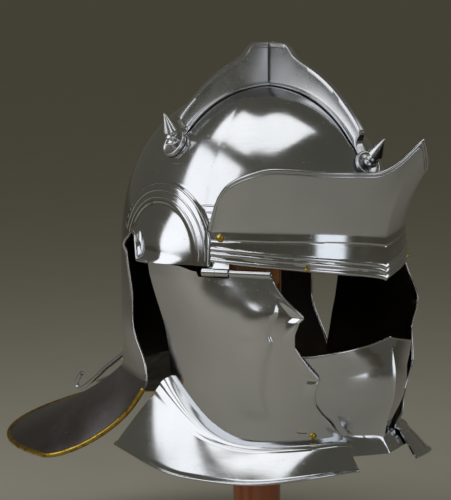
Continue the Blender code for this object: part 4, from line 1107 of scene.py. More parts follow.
class RoundSweep:
    """A Geometry Nodes tree that sweeps a round section along paths, with its own thickness at each point."""

    def __init__(self) -> None:
        """Builds the tree."""
        tree = bpy.data.node_groups.new("round_sweep", "GeometryNodeTree")
        face = tree.interface
        face.new_socket(name="Paths", in_out="INPUT", socket_type="NodeSocketGeometry")
        self.inputs = {name: face.new_socket(name=name, in_out="INPUT", socket_type=kind).identifier
                       for name, kind in (("Radius", "NodeSocketFloat"), ("Sides", "NodeSocketInt"),
                                          ("Finish", "NodeSocketMaterial"))}
        face.new_socket(name="Geometry", in_out="OUTPUT", socket_type="NodeSocketGeometry")
        start = add_node(tree, "NodeGroupInput")
        girth = add_node(tree, "GeometryNodeInputNamedAttribute", {"Name": "girth"}, data_type="FLOAT")
        size = add_node(tree, "ShaderNodeMath", {0: girth.outputs[0], 1: start.outputs["Radius"]},
                        operation="MULTIPLY")
        path = add_node(tree, "GeometryNodeMeshToCurve", {0: start.outputs["Paths"]})
        sized = add_node(tree, "GeometryNodeSetCurveRadius", {"Curve": path.outputs[0],
                                                              "Radius": size.outputs[0]})
        ring = add_node(tree, "GeometryNodeCurvePrimitiveCircle", {"Resolution": start.outputs["Sides"],
                                                                   "Radius": 1.0})
        swept = add_node(tree, "GeometryNodeCurveToMesh", {"Curve": sized.outputs[0],
                                                           "Profile Curve": ring.outputs[0], "Fill Caps": True})
        if "Scale" in swept.inputs:
            tree.links.new(size.outputs[0], swept.inputs["Scale"])
        real = add_node(tree, "GeometryNodeRealizeInstances", {0: swept.outputs[0]})
        dressed = add_node(tree, "GeometryNodeSetMaterial", {"Geometry": real.outputs[0],
                                                             "Material": start.outputs["Finish"]})
        add_node(tree, "NodeGroupOutput", {0: dressed.outputs[0]})
        self.tree = tree

    def sweep(self, name: str, paths: Iterable[Sequence[tuple[Vector, float]]], radius: float,
              material: bpy.types.Material, sides: int = 10, angle: float = 50.0) -> bpy.types.Object:
        """Sweeps a round section along paths.

        Args:
            name: the piece's name.
            paths: each path's points with the share of the radius there.
            radius: the section's radius.
            material: its finish.
            sides: how many sides the section has.
            angle: edges sharper than this many degrees stay sharp.

        Returns:
            A plain mesh object.
        """
        points: Row = []
        shares: list[float] = []
        edges: list[tuple[int, int]] = []
        for path in paths:
            first = len(points)
            points += [p for p, _ in path]
            shares += [share for _, share in path]
            edges += [(i, i + 1) for i in range(first, len(points) - 1)]
        mesh = bpy.data.meshes.new(name)
        mesh.from_pydata([tuple(p) for p in points], edges, [])
        girth = mesh.attributes.new("girth", "FLOAT", "POINT")
        girth.data.foreach_set("value", shares)
        item = bpy.data.objects.new(name, mesh)
        bpy.context.scene.collection.objects.link(item)
        nodes = item.modifiers.new("sweep", "NODES")
        nodes.node_group = self.tree
        for key, value in (("Radius", radius), ("Sides", sides), ("Finish", material)):
            nodes[self.inputs[key]] = value
        return outwards(bake(item, angle), angle)


def outwards(item: bpy.types.Object, angle: float = 50.0) -> bpy.types.Object:
    """Turns the faces of closed bodies outwards.

    Args:
        item: the object.
        angle: edges sharper than this many degrees stay sharp.

    Returns:
        The same object.
    """
    bm = bmesh.new()
    bm.from_mesh(item.data)
    bmesh.ops.recalc_face_normals(bm, faces=bm.faces)
    bm.to_mesh(item.data)
    bm.free()
    item.data.shade_smooth()
    item.data.set_sharp_from_angle(angle=math.radians(angle))
    return item


class RivetField:
    """A Geometry Nodes tree that sets a rivet head on each point, turned to face out of the sheet there."""

    def __init__(self) -> None:
        """Builds the tree."""
        tree = bpy.data.node_groups.new("rivet_field", "GeometryNodeTree")
        face = tree.interface
        face.new_socket(name="Places", in_out="INPUT", socket_type="NodeSocketGeometry")
        self.inputs = {name: face.new_socket(name=name, in_out="INPUT", socket_type=kind).identifier
                       for name, kind in (("Head", "NodeSocketObject"), ("Finish", "NodeSocketMaterial"))}
        face.new_socket(name="Geometry", in_out="OUTPUT", socket_type="NodeSocketGeometry")
        start = add_node(tree, "NodeGroupInput")
        facing = add_node(tree, "GeometryNodeInputNamedAttribute", {"Name": "facing"}, data_type="FLOAT_VECTOR")
        size = add_node(tree, "GeometryNodeInputNamedAttribute", {"Name": "head_radius"}, data_type="FLOAT")
        turn = add_node(tree, "FunctionNodeAlignRotationToVector", {"Vector": facing.outputs[0]}, axis="Z")
        head = add_node(tree, "GeometryNodeObjectInfo", {"Object": start.outputs["Head"]})
        heads = add_node(tree, "GeometryNodeInstanceOnPoints",
                         {"Points": start.outputs["Places"], "Instance": head.outputs["Geometry"],
                          "Rotation": turn.outputs[0], "Scale": size.outputs[0]})
        real = add_node(tree, "GeometryNodeRealizeInstances", {0: heads.outputs[0]})
        dressed = add_node(tree, "GeometryNodeSetMaterial", {"Geometry": real.outputs[0],
                                                             "Material": start.outputs["Finish"]})
        add_node(tree, "NodeGroupOutput", {0: dressed.outputs[0]})
        self.tree = tree

    def scatter(self, name: str, places: Sequence[tuple[Vector, Vector, float]],
                material: bpy.types.Material, rise: float = 0.62) -> bpy.types.Object:
        """Sets rivet heads.

        Args:
            name: the piece's name.
            places: for each head its place, the way it faces and its radius.
            material: its finish.
            rise: a head's height as a share of its radius.

        Returns:
            A plain mesh object.
        """
        profile = [(1.0, 0.0), (1.0, 0.10)]
        profile += [(math.cos(t), 0.10 + rise * math.sin(t)) for t in spread(0.2, math.pi / 2.0 - 0.12, 7)]
        head = turned(name + "_head", profile + [(0.0, 0.10 + rise)], 24, material, Vector((0.0, 0.0, 0.0)),
                      Vector((0.0, 0.0, 1.0)))
        mesh = bpy.data.meshes.new(name)
        mesh.from_pydata([tuple(p) for p, _, _ in places], [], [])
        facing = mesh.attributes.new("facing", "FLOAT_VECTOR", "POINT")
        facing.data.foreach_set("vector", [v for _, normal, _ in places for v in normal])
        size = mesh.attributes.new("head_radius", "FLOAT", "POINT")
        size.data.foreach_set("value", [radius for _, _, radius in places])
        item = bpy.data.objects.new(name, mesh)
        bpy.context.scene.collection.objects.link(item)
        nodes = item.modifiers.new("rivets", "NODES")
        nodes.node_group = self.tree
        nodes[self.inputs["Head"]] = head
        nodes[self.inputs["Finish"]] = material
        bake(item)
        bpy.data.objects.remove(head, do_unlink=True)
        return item


def give(item: bpy.types.Object, body: str, slot: str, *nodes: str) -> bpy.types.Object:
    """Parents a finished piece to its body's empty, hides the solids that it stands for and logs its triangle
    count.

    Args:
        item: the piece.
        body: the body that it rides on.
        slot: not used.
        nodes: the solids that it stands for.

    Returns:
        The piece.
    """
    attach(item, body)
    if nodes:
        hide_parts(*nodes)
    item.data.calc_loop_triangles()
    LOG.info("%s: %d triangles on %s", item.name, len(item.data.loop_triangles), body)
    return item


def tapered(points: Row, ends: int = 3) -> list[tuple[Vector, float]]:
    """A path whose ends run out to nothing.

    Args:
        points: the path's points.
        ends: how many points each end takes to reach full thickness.

    Returns:
        Each point with its share of the radius.
    """
    last = len(points) - 1
    return [(p, min(1.0, math.sqrt((min(i, last - i) + 0.05) / ends))) for i, p in enumerate(points)]


def rounded(points: Row, radius: float) -> list[tuple[Vector, float]]:
    """A path with round ends.

    Args:
        points: the path's points.
        radius: the wire's radius.

    Returns:
        Each point with its share of the radius.
    """
    result: list[tuple[Vector, float]] = []
    start = (points[1] - points[0]).normalized()
    end = (points[-2] - points[-1]).normalized()
    caps = ((0.0, 0.08), (0.15, 0.52), (0.42, 0.82), (0.75, 0.97))
    result += [(points[0] + start * (radius * along), share) for along, share in caps]
    result += [(p, 1.0) for p in points[1:-1]]
    result += [(points[-1] + end * (radius * along), share) for along, share in reversed(caps)]
    return result


def smooth_route(points: Row, steps: int) -> Row:
    """Points on a smooth curve through a route's own points.

    Args:
        points: the route's points.
        steps: how many points each stretch gets.

    Returns:
        The curve's points.
    """
    padded = [points[0] * 2.0 - points[1]] + points + [points[-1] * 2.0 - points[-2]]
    result: Row = []
    for i in range(1, len(padded) - 2):
        a, b, c, d = padded[i - 1:i + 3]
        for k in range(steps):
            t = k / steps
            result.append(0.5 * (2.0 * b + (c - a) * t + (2.0 * a - 5.0 * b + 4.0 * c - d) * t ** 2
                                 + (3.0 * b - a - 3.0 * c + d) * t ** 3))
    return result + [points[-1]]


def facing_out(at: Callable[[float, float], Vector], angle: float, height: float) -> tuple[Vector, Vector]:
    """A place on an upright face and the way the face looks there.

    Args:
        at: gives the face's point for an angle and a height.
        angle: degrees from the front.
        height: metres over the brow.

    Returns:
        The place and its outward normal.
    """
    here = at(angle, height)
    return here, (at(angle + 0.5, height) - here).cross(at(angle, height + 0.001) - here).normalized()


@dataclass
class Stand:
    """The turned wooden stand: a moulded base, a plain post and a rounded cap under the crown."""

    base: float = 0.100
    rise: float = 0.026
    post: float = 0.019
    cap: float = 0.042
    cap_depth: float = 0.030
    sides: int = 96

    def build(self, sweep: RoundSweep, finishes: Finishes) -> None:
        """Turns the stand and dresses it.

        Args:
            sweep: the tree that turns it.
            finishes: every finish.
        """
        point, normal = BOWL.meridian(180.0, 0.014)
        top = point.z - SHEET / normal.z - 2.0 * GAP
        under = top - self.cap_depth
        rows = [
            (self.base * 0.985, 0.0), (self.base, 0.0012), (self.base, self.rise * 0.50),
            (self.base * 0.996, self.rise * 0.58), (self.base * 0.975, self.rise * 0.66),
            (self.base * 0.94, self.rise * 0.72), (self.base * 0.905, self.rise * 0.78),
            (self.base * 0.895, self.rise * 0.86), (self.base * 0.875, self.rise * 0.93),
            (self.base * 0.83, self.rise * 0.985), (self.base * 0.78, self.rise),
            (self.post * 1.60, self.rise + 0.0003), (self.post * 1.55, self.rise + 0.004),
            (self.post * 1.42, self.rise + 0.0075),
            (self.post * 1.16, self.rise + 0.010), (self.post * 1.06, self.rise + 0.013),
            (self.post, self.rise + 0.018), (self.post * 0.995, self.rise + 0.10), (self.post, under - 0.010),
            (self.post * 1.10, under - 0.005), (self.cap * 0.60, under - 0.002), (self.cap * 0.88, under),
            (self.cap * 0.97, under + 0.002), (self.cap, under + self.cap_depth * 0.20),
            (self.cap * 0.985, under + self.cap_depth * 0.34), (self.cap * 0.93, under + self.cap_depth * 0.48),
            (self.cap * 0.84, under + self.cap_depth * 0.62), (self.cap * 0.70, under + self.cap_depth * 0.75),
            (self.cap * 0.52, under + self.cap_depth * 0.86), (self.cap * 0.30, under + self.cap_depth * 0.95),
            (self.cap * 0.08, top - 0.0002),
        ]
        path = [(Vector((0.0, 0.0, level)), radius) for radius, level in rows]
        stand = sweep.sweep("turned_stand", [path], 1.0, finishes.wood, self.sides, 30.0)
        give(stand, "helmet", "varnished_wood", "stand")


@dataclass
class BowlShell:
    """The bowl raised in one sheet with its ear arches, neck skirt and neck guard, and its raised lines."""

    crown_rows: int = 34
    wall_rows: int = 64
    skirt_rows: int = 18
    guard_rows: int = 18
    arch_lines: tuple[float, ...] = (0.0004, 0.0046, 0.0090)
    arch_line_radius: float = 0.0010
    side_lines: tuple[float, ...] = (0.0500, 0.0452, 0.0404)
    lip_radius: float = 0.0012
    binding_radius: float = 0.0021

    def angles(self) -> list[float]:
        """The columns: dense over the ear arches, wider in front and behind."""
        right = spread(0.0, 66.0, 34) + spread(68.0, 103.0, 44) + spread(103.5, 117.5, 29)
        right += [blend(118.0, 180.0, share ** 1.15) for share in spread(0.0, 1.0, 40)]
        return [-a for a in reversed(right[1:-1])] + right

    def build(self, sweep: RoundSweep, finishes: Finishes) -> None:
        """Raises the shell, its lines and the brass binding.

        Args:
            sweep: the tree that lays the raised lines.
            finishes: every finish.
        """
        self.build_shell(finishes)
        lines = [tapered(line) for side in Side for line in self.arch_paths(side) + self.side_paths(side)]
        give(sweep.sweep("embossed_lines", lines, self.arch_line_radius, finishes.polished, 8, 60.0), "helmet",
             "polished_steel")
        edges = [rounded(self.lip_path(side), self.lip_radius) for side in Side]
        give(sweep.sweep("ear_opening_edges", edges, self.lip_radius, finishes.polished, 10, 60.0), "helmet",
             "polished_steel")
        self.build_binding(sweep, finishes)

    def build_shell(self, finishes: Finishes) -> None:
        """Raises the shell: polished outside, satin on the neck guard, and near-black steel inside that carries
        painted shade.
        """
        bm = bmesh.new()
        angles = self.angles()
        count = len(angles)
        apex = bm.verts.new(place(0.0, 0.0, BOWL.height))
        crown = [math.cos(t) ** (2.0 / 2.3) for t in spread(0.035, 1.02, self.crown_rows)]
        rows = [[bm.verts.new(BOWL.point(a, BOWL.height * s)) for a in angles] for s in crown]
        start = BOWL.height * crown[-1]
        for share in spread(0.0, 1.0, self.wall_rows)[1:]:
            rows.append([bm.verts.new(BOWL.point(a, blend(start, BOWL.rim(a), share))) for a in angles])
        for i in range(count):
            bm.faces.new((apex, rows[0][i], rows[0][(i + 1) % count]))
        for upper, lower in zip(rows, rows[1:]):
            for i in range(count):
                j = (i + 1) % count
                bm.faces.new((upper[i], lower[i], lower[j], upper[j]))
        nape = [i for i in range(count) if abs(angles[i]) >= BOWL.skirt_edge - 0.01]
        nape.sort(key=lambda i: angles[i] % 360.0)
        above = [rows[-1][i] for i in nape]
        for share in spread(0.0, 1.0, self.skirt_rows)[1:]:
            below = [bm.verts.new(BOWL.skirt(angles[i], share)) for i in nape]
            add_strip(bm, above, below)
            above = below
        for share in spread(0.0, 1.0, self.guard_rows)[1:]:
            below = [bm.verts.new(BOWL.guard(angles[i], share)) for i in nape]
            for face in add_strip(bm, above, below):
                face.material_index = 2
            above = below
        materials = (finishes.polished, finishes.inside, finishes.satin, finishes.inside)
        shell = finish_mesh("raised_bowl", bm, materials, 50.0)
        add_wall(shell, SHEET)
        give(bake(shell, 50.0), "helmet", "polished_steel", "bowl")

    def arch_paths(self, side: Side) -> list[Row]:
        """The parallel raised lines round an ear arch."""
        paths = []
        for inwards in self.arch_lines:
            share = 1.0 - inwards / BOWL.arch_half_width
            path = []
            for t in spread(0.02, math.pi - 0.28, 72):
                x = BOWL.arch_centre + math.copysign(abs(math.cos(t)) ** (2.0 / 2.2), math.cos(t)) * (
                    BOWL.arch_half_width * share)
                height = BOWL.arch_foot + math.sin(t) ** (2.0 / 2.2) * (BOWL.arch_top - BOWL.arch_foot) * share
                path.append(BOWL.side_point(x, height, side, -0.0005))
            paths.append(path)
        return paths

    def side_paths(self, side: Side) -> list[Row]:
        """The short level lines between the ear arch and the peak."""
        paths = []
        for height in self.side_lines:
            reach = max(1.0 - ((height - BOWL.arch_foot) / (BOWL.arch_top - BOWL.arch_foot)) ** 2.2, 0.0)
            x = BOWL.arch_centre + BOWL.arch_half_width * (1.0 + 0.0016 / 0.05) * reach ** (1.0 / 2.2)
            first = 62.0
            last = angle_of(BOWL.side_point(x, height, Side.LEFT))
            paths.append([BOWL.point(a * side.value, height, -0.0004) for a in spread(first, last, 14)])
        return paths

    def lip_path(self, side: Side) -> Row:
        """The ear opening's edge, from the hinge over the opening and down the skirt's front edge."""
        path = []
        for angle in spread(96.0, 117.9, 56):
            path.append(BOWL.point(angle * side.value, BOWL.rim(angle), -SHEET * 0.45))
        for share in spread(0.03, 1.0, 26):
            point = BOWL.skirt(BOWL.skirt_edge * side.value, share)
            inwards = (Vector((0.014, 0.0, point.z)) - point).normalized()
            path.append(point + inwards * SHEET * 0.45)
        return path

    def build_binding(self, sweep: RoundSweep, finishes: Finishes) -> None:
        """Wraps the neck guard's edge in a round brass binding."""
        share = [s ** 1.15 for s in spread(0.012, 1.0, 60)]
        angles = [blend(BOWL.skirt_edge, 180.0, s) for s in share]
        angles += [-a for a in reversed(angles[:-1])]
        path = []
        for angle in angles:
            edge, inside = BOWL.guard(angle, 1.0), BOWL.guard(angle, 0.97)
            path.append(edge + (inside - edge).normalized() * 0.0006 - Vector((0.0, 0.0, SHEET / 2.0)))
        edge_path = rounded(path, self.binding_radius)
        binding = sweep.sweep("brass_binding", [edge_path], self.binding_radius, finishes.brass, 16, 60.0)
        give(binding, "helmet", "brass", "neck_guard_binding")


@dataclass
class BrowPeak:
    """The brow band with its beads and the tall peak above it, with a rolled rim."""

    peak_rows: int = 30
    rim_radius: float = 0.0013
    inner_line_radius: float = 0.0006
    rivet_angle: float = 64.0
    rivet_level: float = 0.0275
    rivet_radius: float = 0.0031
    spot_angle: float = 28.7
    spot_radius: float = 0.0020

    def angles(self) -> list[float]:
        """The columns, closer together at the keel and at both ends."""
        half = [BAND.end * (0.55 * s + 0.45 * s ** 2.4) for s in spread(0.0, 1.0, 64)]
        return [-a for a in reversed(half[1:])] + half

    def build(self, sweep: RoundSweep, rivets: RivetField, finishes: Finishes) -> None:
        """Shapes the sheet, its rolled rim and its rivets.

        Args:
            sweep: the tree that rolls the rim.
            rivets: the tree that sets the rivet heads.
            finishes: every finish.
        """
        angles = self.angles()
        rows = [[BAND.peak(a, s) for a in angles] for s in reversed(spread(0.0, 1.0, self.peak_rows))]
        for share in spread(0.0, 1.0, 46)[1:]:
            rows.append([BAND.point(a, blend(BAND.upper(a), BAND.lower(a), share)) for a in angles])
        give(make_sheet("band_and_peak", rows, finishes.polished, finishes.inside, angle=50.0), "helmet",
             "polished_steel", "brow_peak")
        rim = []
        for angle in angles:
            turn = math.radians(angle)
            outwards_here = Vector((math.cos(turn), math.sin(turn), 0.0))
            rim.append(BAND.peak(angle, 1.0) - outwards_here * SHEET * 0.5)
        inner = [BAND.peak(a, 0.945) for a in angles[3:-3]]
        rim_path = rounded(rim, self.rim_radius)
        give(sweep.sweep("rolled_peak_rim", [rim_path], self.rim_radius, finishes.polished, 12, 60.0),
             "helmet", "polished_steel")
        give(sweep.sweep("peak_rim_line", [tapered(inner)], self.inner_line_radius, finishes.polished, 8,
                         60.0), "helmet", "polished_steel")
        places = []
        for side in Side:
            spot_level = BAND.lower(self.spot_angle) + self.spot_radius * 1.1
            for angle, level, radius in ((self.rivet_angle, self.rivet_level, self.rivet_radius),
                                         (self.spot_angle, spot_level, self.spot_radius)):
                point, normal = facing_out(BAND.point, angle * side.value, level)
                places.append((point, normal, radius))
        give(rivets.scatter("band_rivets", places, finishes.brass, 0.55), "helmet", "brass",
             "peak_rivet_right", "peak_rivet_left", "rim_rivet_right", "rim_rivet_left")


@dataclass
class CrestBars:
    """The crossed crest bars, their end discs and the spikes that stand on the discs."""

    thickness: float = 0.0040
    nub: float = 0.033
    seat: float = 0.0004
    side_angle: float = 103.0
    strap_width: float = 0.0080
    strap_thickness: float = 0.0023
    disc_radius: float = 0.0108
    disc_thickness: float = 0.0036
    foot_ledge: float = 0.0030
    spike_reach: float = 0.0235
    spike_reach_side: float = 0.0195
    spike_lean: float = 0.40
    spike_lean_side: float = 0.75
    cone_start: float = 0.43
    spike_neck: Table = ((0.0, 0.0036), (0.020, 0.0048), (0.055, 0.0053), (0.095, 0.0050), (0.125, 0.0037),
                         (0.150, 0.0034), (0.185, 0.0045), (0.225, 0.0050), (0.265, 0.0046), (0.295, 0.0036),
                         (0.325, 0.0034), (0.355, 0.0040), (0.385, 0.0053), (0.405, 0.0057), (0.430, 0.0055))
    heights: Table = ((0.0, 1.0), (0.10, 1.0), (0.150, 0.985), (0.175, 0.93), (0.200, 0.84), (0.235, 0.745),
                      (0.32, 0.65), (0.45, 0.57), (0.58, 0.49), (0.70, 0.41), (0.80, 0.37), (0.88, 0.33))
    levels: Table = ((0.0, 0.079), (103.0, 0.091), (180.0, 0.066))
    twist: Table = ((0.0, 0.33), (0.12, 0.315), (0.19, 0.20), (0.30, 0.105), (0.50, 0.07), (1.0, 0.07))

    def disc_at(self, angle: float) -> tuple[Vector, Vector]:
        """The foot of a bar's end disc and the way it faces."""
        return BOWL.meridian(angle, BOWL.reach(angle, read_table(self.levels, abs(angle))))

    def section(self, foot: Vector, up: Vector, across: Vector, width: float, height: float,
                blade: float) -> Row:
        """One section of a bar: a foot ledge on the dome, a flat web and a rounded, thickened edge.

        Args:
            foot: the middle of the foot on the dome.
            up: the way away from the dome.
            across: the way across the bar.
            width: the web's thickness.
            height: the bar's height over the dome.
            blade: 1 for the upright blade, 0 for the flat strap.

        Returns:
            The section's points, counted round it.
        """
        half = width / 2.0
        scale = min(1.0, (height - self.seat) / 0.012)
        ledge = half + self.foot_ledge * blade
        roll = half + 0.0008 * blade
        top = roll - 0.0006 * scale - 0.0006 * (1 - blade) * half / 0.004
        right = [(ledge, self.seat), (ledge, self.seat + 0.0011 * scale),
                 (ledge - 0.0005 * blade, self.seat + 0.0015 * scale),
                 (half + 0.0006 * blade, self.seat + 0.0019 * scale),
                 (half, self.seat + 0.0034 * scale), (half, height - 0.0042 * scale),
                 (roll, height - 0.0034 * scale), (roll, height - 0.0012 * scale),
                 (top, height - 0.0003 * scale), (half * 0.45, height)]
        points = right + [(-u, v) for u, v in reversed(right)]
        return [foot + across * u + up * v for u, v in points]

    def rings(self, angle: float, first: float) -> list[Row]:
        """The sections of one bar from the crown down to its disc.

        Args:
            angle: degrees from the front.
            first: distance of the first section from the crown's axis.

        Returns:
            The sections.
        """
        end = BOWL.reach(angle, read_table(self.levels, abs(angle)))
        turn = math.radians(angle)
        across = Vector((-math.sin(turn), math.cos(turn), 0.0))
        result = []
        for reach in spread(0.0, 0.84, 70):
            foot, normal = BOWL.meridian(angle, max(reach * end / 0.96, first))
            up = (normal - across * normal.dot(across)).normalized()
            height = read_curve(self.heights, reach) * self.nub
            result.append(self.section(foot, up, across, self.thickness, height, 1.0))
        for share in spread(0.0, 1.0, 30)[1:]:
            foot, normal = BOWL.meridian(angle, end * blend(0.84 / 0.96, 1.0, share))
            flat = smooth(share / 0.42)
            way = across.lerp((across - normal * across.dot(normal)).normalized(), flat).normalized()
            up = (normal - way * normal.dot(way)).normalized()
            blade = read_curve(self.twist, share) * self.nub
            height = blend(blade, self.strap_thickness, smooth(share / 0.5))
            result.append(self.section(foot, up, way, blend(self.thickness, self.strap_width, flat),
                                       max(height, self.strap_thickness), 1.0 - flat))
        return result

    def arm(self, bm: bmesh.types.BMesh, angle: float, first: float) -> None:
        """Adds one arm as a closed body.

        Args:
            bm: the mesh.
            angle: degrees from the front.
            first: distance of the first section from the crown's axis.
        """
        rings = [[bm.verts.new(p) for p in ring] for ring in self.rings(angle, first)]
        for ring, following in zip(rings, rings[1:]):
            join_rings(bm, ring, following)
        bm.faces.new(list(reversed(rings[0])))
        bm.faces.new(rings[-1])

    def disc(self, name: str, angle: float, finishes: Finishes) -> bpy.types.Object:
        """An end disc with a rounded raised rim and a dished middle."""
        foot, normal = self.disc_at(angle)
        radius, top = self.disc_radius, self.disc_thickness
        profile = [(radius * 0.985, GAP), (radius, 0.0008), (radius, top - 0.0010),
                   (radius * 0.985, top - 0.0004), (radius * 0.95, top - 0.0001), (radius * 0.90, top),
                   (radius * 0.85, top - 0.0001),
                   (radius * 0.81, top - 0.0005), (radius * 0.76, top - 0.0009), (radius * 0.45, top - 0.0011),
                   (0.0, top - 0.0011)]
        return turned(name, profile, 56, finishes.crest, foot, normal, 50.0)

    def spike(self, angle: float) -> list[tuple[Vector, float]]:
        """A spike's path: three rings on a neck, then a cone that leans upwards."""
        foot, normal = self.disc_at(angle)
        start = self.disc_thickness - 0.0009 + GAP
        reach, tilt = self.spike_reach, self.spike_lean
        if 0.0 < abs(angle) < 180.0:
            reach, tilt = self.spike_reach_side, self.spike_lean_side
        lean = (Vector((0.0, 0.0, 1.0)) - normal * normal.z).normalized() * tilt
        rows = [(r, share) for share, r in self.spike_neck]
        cone = spread(0.0, 1.0, 12)[1:]
        rows += [(blend(0.0055, 0.0007, s), blend(self.cone_start, 0.975, s)) for s in cone]
        rows += [(0.0004, 0.99), (0.00008, 1.0)]
        return [(foot + normal * (start + share * reach) + lean * share * reach, radius)
                for radius, share in rows]

    def build(self, sweep: RoundSweep, finishes: Finishes) -> None:
        """Forges the bars, their discs and the spikes.

        Args:
            sweep: the tree that turns the spikes.
            finishes: every finish.
        """
        inner = self.thickness * 0.5 + 0.0011
        bars = (("long", (0.0, 180.0)), ("right", (-self.side_angle,)), ("left", (self.side_angle,)))
        for name, arms in bars:
            bm = bmesh.new()
            for angle in arms:
                self.arm(bm, angle, 0.0 if len(arms) > 1 else inner)
            bmesh.ops.recalc_face_normals(bm, faces=bm.faces)
            parts = [finish_mesh("arm", bm, (finishes.crest,), 34.0)]
            parts += [self.disc("disc", angle, finishes) for angle in arms]
            give(merge("forged_bar_" + name, parts), "helmet", "crest_steel", "crest_bar_" + name)
        spikes = (("front", 0.0), ("back", 180.0), ("right", -self.side_angle), ("left", self.side_angle))
        for name, angle in spikes:
            spike = sweep.sweep("turned_spike_" + name, [self.spike(angle)], 1.0, finishes.crest, 40, 50.0)
            give(spike, "helmet", "crest_steel", "spike_" + name)


@dataclass
class CheekGuard:
    """A hinged cheek guard on one side, with the rolled knuckle that turns on the bowl's pin."""

    side: Side
    slot_angle: float = 30.0
    slot_level: float = 0.1140
    slot_length: float = 0.0078
    slot_height: float = 0.0056
    knob_angle: float = 25.8
    knob_level: float = 0.1187
    knob_radius: float = 0.0027
    edge_radius: float = 0.00095

    @property
    def body(self) -> str:
        """The body that the guard rides on."""
        return "cheek_" + self.side.label

    def face(self, angle: float, height: float) -> Vector:
        """A point of the guard's outer face at a height over the brow."""
        return polar(angle, CHEEK.face(abs(angle), min(-height / CHEEK.depth, 1.0)), height)

    def rows(self) -> list[Row]:
        """The rows of the guard's outer face."""
        columns = sorted(spread(0.0, 1.0, 74) + spread(0.86, 0.995, 22))
        if self.side is Side.LEFT:
            columns.reverse()
        shares = spread(0.0, 1.0, 104) + [1.0 + s for s in spread(0.0, 1.0, 46)[1:]]
        return [[CHEEK.point(self.side, column, share) for column in columns] for share in shares]

    def build(self, sweep: RoundSweep, rivets: RivetField, finishes: Finishes) -> None:
        """Shapes the guard, its edges and its knuckle, and on the right its slot and knob.

        Args:
            sweep: the tree that rolls the edges.
            rivets: the tree that sets the knob.
            finishes: every finish.
        """
        guard = make_sheet("guard", self.rows(), finishes.polished, finishes.inside, angle=50.0)
        if self.side is Side.RIGHT:
            self.cut_slot(guard)
        rear, front = CHEEK.hinge(self.side)
        split = rear.lerp(front, CHEEK.hinge_share) + (front - rear).normalized() * GAP
        knuckle = self.knuckle(split, front, finishes)
        give(merge("cheek_plate_" + self.side.label, [guard, knuckle]), self.body, "polished_steel",
             "cheek_guard_" + self.side.label)
        edges = sweep.sweep("cheek_edges_" + self.side.label, self.edge_paths(), self.edge_radius,
                            finishes.polished, 8, 60.0)
        give(edges, self.body, "polished_steel")
        if self.side is Side.RIGHT:
            point, normal = facing_out(self.face, -self.knob_angle, -self.knob_level)
            knob = rivets.scatter("brass_knob", [(point, normal, self.knob_radius)], finishes.brass, 0.60)
            give(knob, self.body, "brass", "closing_knob")

    def edge_paths(self) -> list[list[tuple[Vector, float]]]:
        """The thickened front edge and the roll along the collar's lower edge."""
        front = [CHEEK.point(self.side, 1.0, share) for share in spread(0.02, 1.0, 90)]
        foot = [CHEEK.point(self.side, column, 2.0) for column in spread(0.0, 1.0, 60)]
        paths = []
        for path in (front, foot):
            inner = [p + (Vector((0.014, 0.0, p.z)) - p).normalized() * SHEET * 0.5 for p in path]
            paths.append(rounded(inner, self.edge_radius))
        return paths

    def knuckle(self, start: Vector, end: Vector, finishes: Finishes) -> bpy.types.Object:
        """The guard's rolled knuckle, a tube round the pin."""
        length = (end - start).length
        outer, bore = CHEEK.knuckle, CHEEK.pin + GAP
        profile = [(bore, 0.0), (outer - 0.0004, 0.0), (outer, 0.0004), (outer, length - 0.0004),
                   (outer - 0.0004, length), (bore, length)]
        bm = bmesh.new()
        rings = [[bm.verts.new((r * math.cos(math.tau * i / 28), r * math.sin(math.tau * i / 28), along))
                  for i in range(28)] for r, along in profile]
        for first, second in zip(rings, rings[1:] + rings[:1]):
            join_rings(bm, first, second)
        turn = (end - start).to_track_quat("Z", "Y").to_matrix().to_4x4()
        bmesh.ops.transform(bm, matrix=Matrix.Translation(start) @ turn, verts=bm.verts)
        bmesh.ops.recalc_face_normals(bm, faces=bm.faces)
        return finish_mesh("knuckle", bm, (finishes.polished,), 40.0)

    def cut_slot(self, guard: bpy.types.Object) -> None:
        """Cuts the fastening slot with rounded corners through the guard."""
        point, normal = facing_out(self.face, -self.slot_angle, -self.slot_level)
        across = Vector((0.0, 0.0, 1.0)).cross(normal).normalized()
        up = normal.cross(across)
        bm = bmesh.new()
        rings = []
        for depth in (-0.008, 0.008):
            ring = []
            for i in range(32):
                t = math.tau * i / 32
                u = math.copysign(abs(math.cos(t)) ** 0.35, math.cos(t)) * self.slot_length / 2.0
                v = math.copysign(abs(math.sin(t)) ** 0.35, math.sin(t)) * self.slot_height / 2.0
                ring.append(bm.verts.new(point + across * u + up * v + normal * depth))
            rings.append(ring)
        join_rings(bm, rings[0], rings[1])
        bm.faces.new(rings[0])
        bm.faces.new(rings[1])
        bmesh.ops.recalc_face_normals(bm, faces=bm.faces)
        cutter = finish_mesh("slot_cutter", bm, [slot.material for slot in guard.material_slots][:1])
        cut = guard.modifiers.new("slot", "BOOLEAN")
        cut.operation, cut.solver, cut.object = "DIFFERENCE", "EXACT", cutter
        bake(guard, 50.0)
        bpy.data.objects.remove(cutter, do_unlink=True)


